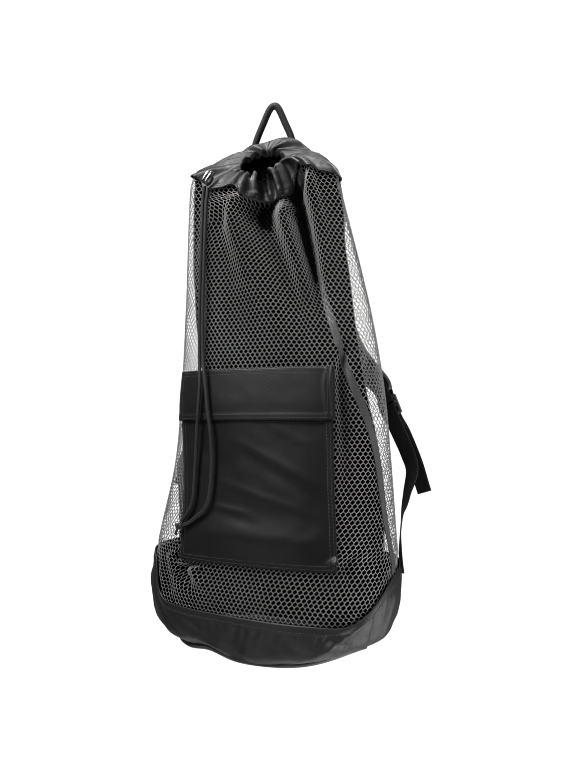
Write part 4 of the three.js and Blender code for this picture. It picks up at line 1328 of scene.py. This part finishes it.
# %% Cord lock
LOCK = {"across": -60.0, "height": 546.0, "forward": 12.5, "tilt": 40.0}
LOCK_PROFILE = table(
    "along radius",
    (-8.5, 2.0), (-8.5, 4.3), (-7.9, 4.9), (-5, 6), (-4.6, 5.7), (-4.2, 6), (1.7, 6), (3.6, 5.2),
    (4.2, 4.6), (4.7, 3.3), (7.0, 3.3), (7.8, 3.0), (8.4, 2.0), (8.5, 1.0),
)
CLIP_LINE = ((-5.6, -6), (-6.4, -4), (-6.4, 4), (-5.0, 6))
CLIP_SPREAD, CLIP_THICK = 2.1, 1.5
METAL = finish(
    "bright_clip", (0.55, 0.55, 0.55), (0.7, 0.7, 0.7),
    rough=0.28, pitch=0.002, bump=0.00002, specular=0.5, uses_uv=False,
)
METAL.node_tree.nodes["Principled BSDF"].inputs["Metallic"].default_value = 1.0


def turned_piece(name, profile, sides):
    rows = len(profile["along"]) - 1
    obj = flat_grid(name, sides, rows)
    flat = read_points(obj)
    k = np.rint((flat[:, 1] + 0.5) * rows).astype(int)
    turn = 2 * np.pi * (flat[:, 0] + 0.5)
    radius, along = profile["radius"][k], profile["along"][k]
    write_points(obj, np.stack((radius * np.cos(turn), radius * np.sin(turn), along), -1) / 1000.0)
    merge_doubles(obj)
    face_outward(obj, fill=True)
    return obj


def place_at(obj, spot, tilt):
    make_active(obj)
    obj.rotation_euler = (0, math.radians(tilt), 0)
    obj.location = tuple(metres(spot))
    bpy.ops.object.transform_apply(location=True, rotation=True, scale=True)


lock_spot = front_point(LOCK["height"], LOCK["across"], LOCK["forward"])
lock = turned_piece("lock_barrel", LOCK_PROFILE, 28)
place_at(lock, lock_spot, LOCK["tilt"])
dress(lock, PLASTIC, "plastic", "cord_lock")
make_active(lock)
bpy.ops.object.shade_smooth_by_angle(angle=math.radians(35))
clips = []
for k, across in enumerate((-CLIP_SPREAD, CLIP_SPREAD)):
    line = smooth_line([(across, out, along) for out, along in CLIP_LINE], 16)
    bar = tube("lock_clip_%d" % k, line, CLIP_THICK, CLIP_THICK, 10, round_ends=2)
    write_points(bar, read_points(bar) + HANG / 1000.0)
    place_at(bar, lock_spot, LOCK["tilt"])
    clips.append(bar)
dress(join("lock_clip", clips), METAL, "plastic")

# %% [markdown]
# Each shoulder strap has a padded upper part, a ladder-lock buckle on a short loop, and a lower webbing
# that turns round the buckle's bar and ends in a free tail. The buckle has its own small frame: across
# it, along the strap, and out of its face.

# %% Buckle frame
BUCKLE_CENTRE = np.array((122.0, 86.0, 279.0))
BUCKLE_FACE = 20.0
STRAP_WAY = np.array((-21.0, 0.0, 45.0))
BUCKLE = {"width": 28.0, "length": 25.0, "thick": 3.0, "bar": 3.4, "slot": 7.4, "slot_width": 22.0}
WEB_WIDTH, WEB_THICK, GAP, TAB_SLACK = 20.0, 1.5, 0.4, 2.5
TURN_RADIUS = math.hypot(BUCKLE["bar"], BUCKLE["thick"]) / 2 + GAP + WEB_THICK / 2
face_turn = math.radians(BUCKLE_FACE)
buckle_out = np.array((math.sin(face_turn), math.cos(face_turn), 0.0))
buckle_along = unit(STRAP_WAY - buckle_out * (STRAP_WAY @ buckle_out))
buckle_across = np.cross(buckle_along, buckle_out)


def in_buckle(along, out, across=0.0):
    return BUCKLE_CENTRE + buckle_along * along + buckle_out * out + buckle_across * across


def bar_turn(bar, towards, slack=0.0):
    turn = np.radians(np.arange(-90, 91, 12))
    reach = towards * (TURN_RADIUS + slack)
    return [in_buckle(bar + reach * math.cos(a), TURN_RADIUS * math.sin(a)) for a in turn]


print("buckle along", np.round(buckle_along, 3))

# %% [markdown]
# The strap's runs are flat ribbons. Each has a line and the way that its face looks, both eased through
# a few rows. The left strap is the right one mirrored, with its own seat on the base.

# %% Strap webbing
WEB_LINE = table(
    "x y height face",
    (143, 54, 148, 72), (147, 63, 174, 56), (152, 72, 203, 34), (146, 77, 222, 24),
)
TAIL_LINE = table(
    "x y height face",
    (137, 91, 250, 20), (149, 91, 222, 22), (155, 90, 206, 22), (160, 89, 190, 24), (165, 88, 174, 26),
)
WEB_SEAT, WEB_SEAT_LIFT = table("angle height", (107, 92), (107, 118)), 2.2
PAD_LINE = table(
    "x y height face width",
    (34, 32.7, 546, 0, 52), (38, 41, 510, 3, 52), (44, 51, 462, 8, 50), (52, 60, 419, 12, 46),
    (65, 75, 366, 12, 40), (82, 91, 336, 14, 32),
)
PAD_END = table("along width", (30, 24), (22, 22))
PAD_THICK, TAB_INSIDE, TAB_LAP = 8.0, 3.0, 9.0


def ribbon_ways(line, points, *columns):
    at = line_length(line) / line_length(line)[-1]
    nodes = line_length(points) / line_length(points)[-1]
    face, *others = (np.interp(at, nodes, column) for column in columns)
    face = np.radians(face)
    facing = np.stack((np.sin(face), np.cos(face), np.zeros_like(face)), -1)
    return unit(np.cross(unit(np.gradient(line, axis=0)), facing)), *others


def web_run(points, faces):
    line = smooth_line(points, 10 * (len(points) - 1))
    way = ribbon_ways(line, np.array(points), faces)[0]
    return line, way * np.sign(way @ buckle_across)[:, None]


def strip(name, points, ways, mirrored):
    points, ways = np.array(points), np.array(ways)
    rows = len(points) - 1
    run = line_length(points)
    flip = np.array((-1.0, 1.0, 1.0)) if mirrored else np.ones(3)

    def place(u, v):
        k = np.rint(v * rows).astype(int)
        return (points[k] + ways[k] * ((u - 0.5) * WEB_WIDTH)[:, None]) * flip

    obj = cloth_sheet(name, 8, rows, place, (WEB_WIDTH / 1000.0, run[-1] / 1000.0), WEB_THICK)
    if mirrored:
        face_outward(obj)
    apply_modifier(obj, "BEVEL", width=0.0003, segments=1, limit_method="ANGLE")
    return obj


def strap_web(name, side):
    guide, start, clear = BUCKLE["length"] / 2 + BUCKLE["bar"], BUCKLE["bar"] / 2, TURN_RADIUS + GAP
    seats = plain_form(side * WEB_SEAT["angle"], WEB_SEAT["height"])
    ways = outward(side * WEB_SEAT["angle"], WEB_SEAT["height"])
    seats = (seats + ways * (WEB_SEAT_LIFT + WEB_THICK / 2)) * (side, 1, 1)
    seat_faces = np.degrees(np.arctan2(side * ways[:, 0], ways[:, 1]))
    up, up_ways = web_run(
        [*seats, *spots_of(WEB_LINE), in_buckle(-guide, -clear), in_buckle(-start, -TURN_RADIUS)],
        [*seat_faces, *WEB_LINE["face"], BUCKLE_FACE, BUCKLE_FACE],
    )
    turn = bar_turn(0, 1)
    down, down_ways = web_run(
        [in_buckle(-start, TURN_RADIUS), in_buckle(-guide, clear), *spots_of(TAIL_LINE)],
        [BUCKLE_FACE, BUCKLE_FACE, *TAIL_LINE["face"]],
    )
    across = [buckle_across] * len(turn)
    return strip(name, [*up, *turn, *down], [*up_ways, *across, *down_ways], side < 0)


def strap_tab(name, side):
    bar = BUCKLE["bar"] + BUCKLE["slot"]
    near = PAD_END["along"][-1] - TAB_INSIDE
    clear = PAD_THICK / 2 + GAP + WEB_THICK / 2
    points = [in_buckle(near + TAB_LAP, -clear), in_buckle(near, -clear), *bar_turn(bar, -1, TAB_SLACK)]
    points += [in_buckle(near, clear), in_buckle(near + TAB_LAP, clear)]
    line = even_line(np.array(points), 60)
    return strip(name, line, [buckle_across] * len(line), side < 0)


for label, side in (("left", -1), ("right", 1)):
    dress(strap_web("webbing_web_" + label, side), WEBBING, "webbing", "strap_web_" + label)
    dress(strap_tab("webbing_tab_" + label, side), WEBBING, "webbing", "strap_tab_" + label)

# %% [markdown]
# The ladder lock is a plate with two slots. A cube is scaled to the plate, two smaller cubes are cut
# out of it with Boolean modifiers, and a bevel rounds every edge, as on a moulded buckle.

# %% Ladder locks
LOCK_PLASTIC = finish(
    "buckle_plastic", (0.03, 0.03, 0.03), (0.05, 0.05, 0.05),
    rough=0.35, pitch=0.0016, bump=0.00004, specular=0.5, uses_uv=False,
)


def block(name, size, place=(0.0, 0.0, 0.0)):
    deselect_all()
    bpy.ops.mesh.primitive_cube_add(size=1, location=np.array(place) / 1000.0)
    obj = bpy.context.object
    obj.name = obj.data.name = name
    obj.scale = np.array(size) / 1000.0
    bpy.ops.object.transform_apply(location=True, rotation=True, scale=True)
    return obj


def ladder_lock(name, side):
    plate = block(name, (BUCKLE["width"], BUCKLE["length"], BUCKLE["thick"]))
    for low in (BUCKLE["bar"] / 2, -BUCKLE["bar"] / 2 - BUCKLE["slot"]):
        middle = (0, low + BUCKLE["slot"] / 2, 0)
        cutter = block("slot_cutter", (BUCKLE["slot_width"], BUCKLE["slot"], 20), middle)
        apply_modifier(plate, "BOOLEAN", operation="DIFFERENCE", solver="EXACT", object=cutter)
        bpy.data.objects.remove(cutter, do_unlink=True)
    apply_modifier(plate, "BEVEL", width=0.0008, segments=3, limit_method="ANGLE")
    axes = np.stack((buckle_across, buckle_along, buckle_out))
    placed = BUCKLE_CENTRE + read_points(plate) * 1000.0 @ axes
    write_points(plate, metres(placed * (side, 1, 1)))
    face_outward(plate)
    return plate


for label, side in (("left", -1), ("right", 1)):
    plate = dress(ladder_lock("buckle_" + label, side), LOCK_PLASTIC, "plastic", "ladder_lock_" + label)
    make_active(plate)
    bpy.ops.object.shade_smooth_by_angle(angle=math.radians(40))

# %% [markdown]
# A strap pad is foam between two layers of cloth, sewn flat along its edge. Its outline is a strip
# that narrows towards the buckle. The thickened strip gets an even skin with a voxel remesh, and a
# cloth simulation blows it up softly while its edge is pinned, which is how a sewn pad swells. A
# rolled binding then covers the edge.

# %% Strap pads
PAD_SWELL, PAD_VOXEL, SEWN_REACH, SWELL_MOST = 1.5, 0.004, 0.0045, 0.003
SWELL_PRESSURE, SWELL_FRAMES = 4.0, 20
BINDING_WIDTH, BINDING_THICK = 8.0, 3.4


def pad_rows():
    points = np.vstack((spots_of(PAD_LINE), [in_buckle(along, 0.0) for along in PAD_END["along"]]))
    faces = np.concatenate((PAD_LINE["face"], [BUCKLE_FACE] * 2))
    wides = np.concatenate((PAD_LINE["width"], PAD_END["width"]))
    line = smooth_line(points, 90)
    return line, *ribbon_ways(line, points, faces, wides)


def swell(obj, rim):
    before = read_points(obj)
    sewn = np.min(np.linalg.norm(before[:, None] - rim[None], axis=2), axis=1) < SEWN_REACH
    pinned = obj.vertex_groups.new(name="sewn_edge")
    pinned.add([int(k) for k in np.nonzero(sewn)[0]], 1.0, "REPLACE")
    make_active(obj)
    bpy.ops.object.modifier_add(type="CLOTH")
    cloth = obj.modifiers[-1]
    cloth.settings.use_pressure = True
    cloth.settings.uniform_pressure_force = SWELL_PRESSURE
    cloth.settings.vertex_group_mass = "sewn_edge"
    cloth.settings.effector_weights.gravity = 0.0
    cloth.point_cache.frame_start, cloth.point_cache.frame_end = 1, SWELL_FRAMES
    scene = bpy.context.scene
    for number in range(1, SWELL_FRAMES + 1):
        scene.frame_set(number)
    bpy.ops.object.modifier_apply(modifier=cloth.name)
    scene.frame_set(1)
    move = read_points(obj) - before
    far = np.linalg.norm(move, axis=1, keepdims=True)
    write_points(obj, before + move * np.minimum(1.0, SWELL_MOST / np.maximum(far, 1e-9)))
    print(obj.name, "swelled", round(float(far.max()) * 1000, 2), "mm, kept to", SWELL_MOST * 1000)


def strap_pad(name, side):
    line, across, wide = pad_rows()
    flip = np.array((side, 1.0, 1.0))
    rows = len(line) - 1

    def place(u, v):
        k = np.rint(v * rows).astype(int)
        return (line[k] + across[k] * ((u - 0.5) * wide[k])[:, None]) * flip

    half = across * wide[:, None] / 2
    edges = [(line + half) * flip, (line - half) * flip]
    pad = cloth_sheet(name, 12, rows, place, size=(0.056, 0.3), thick=PAD_THICK - PAD_SWELL)
    apply_modifier(pad, "REMESH", mode="VOXEL", voxel_size=PAD_VOXEL)
    swell(pad, metres(np.vstack(edges)))
    apply_modifier(pad, "SUBSURF", levels=1, render_levels=1)
    face_outward(pad)
    edge_line = even_line(np.vstack((edges[0], edges[1][::-1])), 220)
    binding = tube(name + "_binding", edge_line, BINDING_WIDTH, BINDING_THICK, 12, hint=(0, 1, 0))
    return pad, binding


for label, side in (("left", -1), ("right", 1)):
    pad, binding = strap_pad("pad_" + label, side)
    dress(pad, PADDING, "strap_padding", "strap_pad_" + label)
    dress(binding, TAPE, "webbing")

# %% [markdown]
# Rows of stitches hold the pocket, the flap, the base hem and the collar. One stitch is a thin bar. A
# cube is repeated with the Array modifier, once for each stitch, and every copy is then laid on its
# place on the cloth. A row is a line in the cloth's own two directions, and its stitches have one
# length.

# %% Stitches
STITCH = {"length": 2.5, "gap": 1.3, "wide": 0.45, "thick": 0.35}
STITCH_INSETS = (2.6, 6.2)
HEM_ROW, COLLAR_ROW = 6.8, 0.05


def stitch_row(name, place, line, lift):
    fine = np.linspace(0, 1, 400)
    u, v = line(fine)
    run = line_length(place(u, v))
    count = int(run[-1] / (STITCH["length"] + STITCH["gap"]))
    at = np.interp((np.arange(count) + 0.5) / count * run[-1], run, fine)
    u, v = line(at)
    middle, out = place(u, v), sheet_normals(place, np.clip(u, 0.005, 0.995), np.clip(v, 0.005, 0.995))
    along = unit(place(*line(np.clip(at + 0.002, 0, 1))) - place(*line(np.clip(at - 0.002, 0, 1))))
    across = unit(np.cross(out, along))
    deselect_all()
    bpy.ops.mesh.primitive_cube_add(size=1, location=(0, 0, 0))
    obj = bpy.context.object
    obj.name = obj.data.name = name
    apply_modifier(obj, "ARRAY", count=count, use_relative_offset=False)
    local = read_points(obj).reshape(count, 8, 3)
    placed = (middle + out * lift)[:, None] + local[..., :1] * along[:, None] * STITCH["length"]
    placed = placed + local[..., 1:2] * across[:, None] * STITCH["wide"]
    placed = placed + local[..., 2:] * out[:, None] * STITCH["thick"]
    write_points(obj, metres(placed.reshape(-1, 3)))
    return obj


def straight(start, end):
    def line(t):
        return start[0] + (end[0] - start[0]) * t, start[1] + (end[1] - start[1]) * t
    return line


def stitches(name, rows):
    made = [stitch_row("%s_%d" % (name, k), *row) for k, row in enumerate(rows)]
    dress(join(name, made), THREAD, "nylon")


def edge_rows(place, size, lift, sides):
    rows = []
    for inset in STITCH_INSETS:
        u, v = inset / size[0], inset / size[1]
        corners = {
            "left": ((u, v), (u, 1 - v)), "right": ((1 - u, v), (1 - u, 1 - v)),
            "foot": ((u, v), (1 - u, v)), "top": ((u, 1 - v), (1 - u, 1 - v)),
        }
        rows += [(place, straight(*corners[side]), lift) for side in sides]
    return rows


def hem_line(t):
    return t, 1 - HEM_ROW / (rim_height(360 * t - 180) - BASE_FOOT)


stitches("stitches_pocket", edge_rows(pocket_place, POCKET_SIZE, 0.65, ("left", "right", "foot")))
stitches("stitches_flap", edge_rows(flap_place, FLAP_SIZE, 0.75, ("left", "right", "top", "foot")))
stitches("stitches_base_hem", [(base_place, hem_line, 0.85)])
collar_line = straight((0.001, COLLAR_ROW), (0.999, COLLAR_ROW))
stitches("stitches_collar", [(collar_place, collar_line, 0.75)])
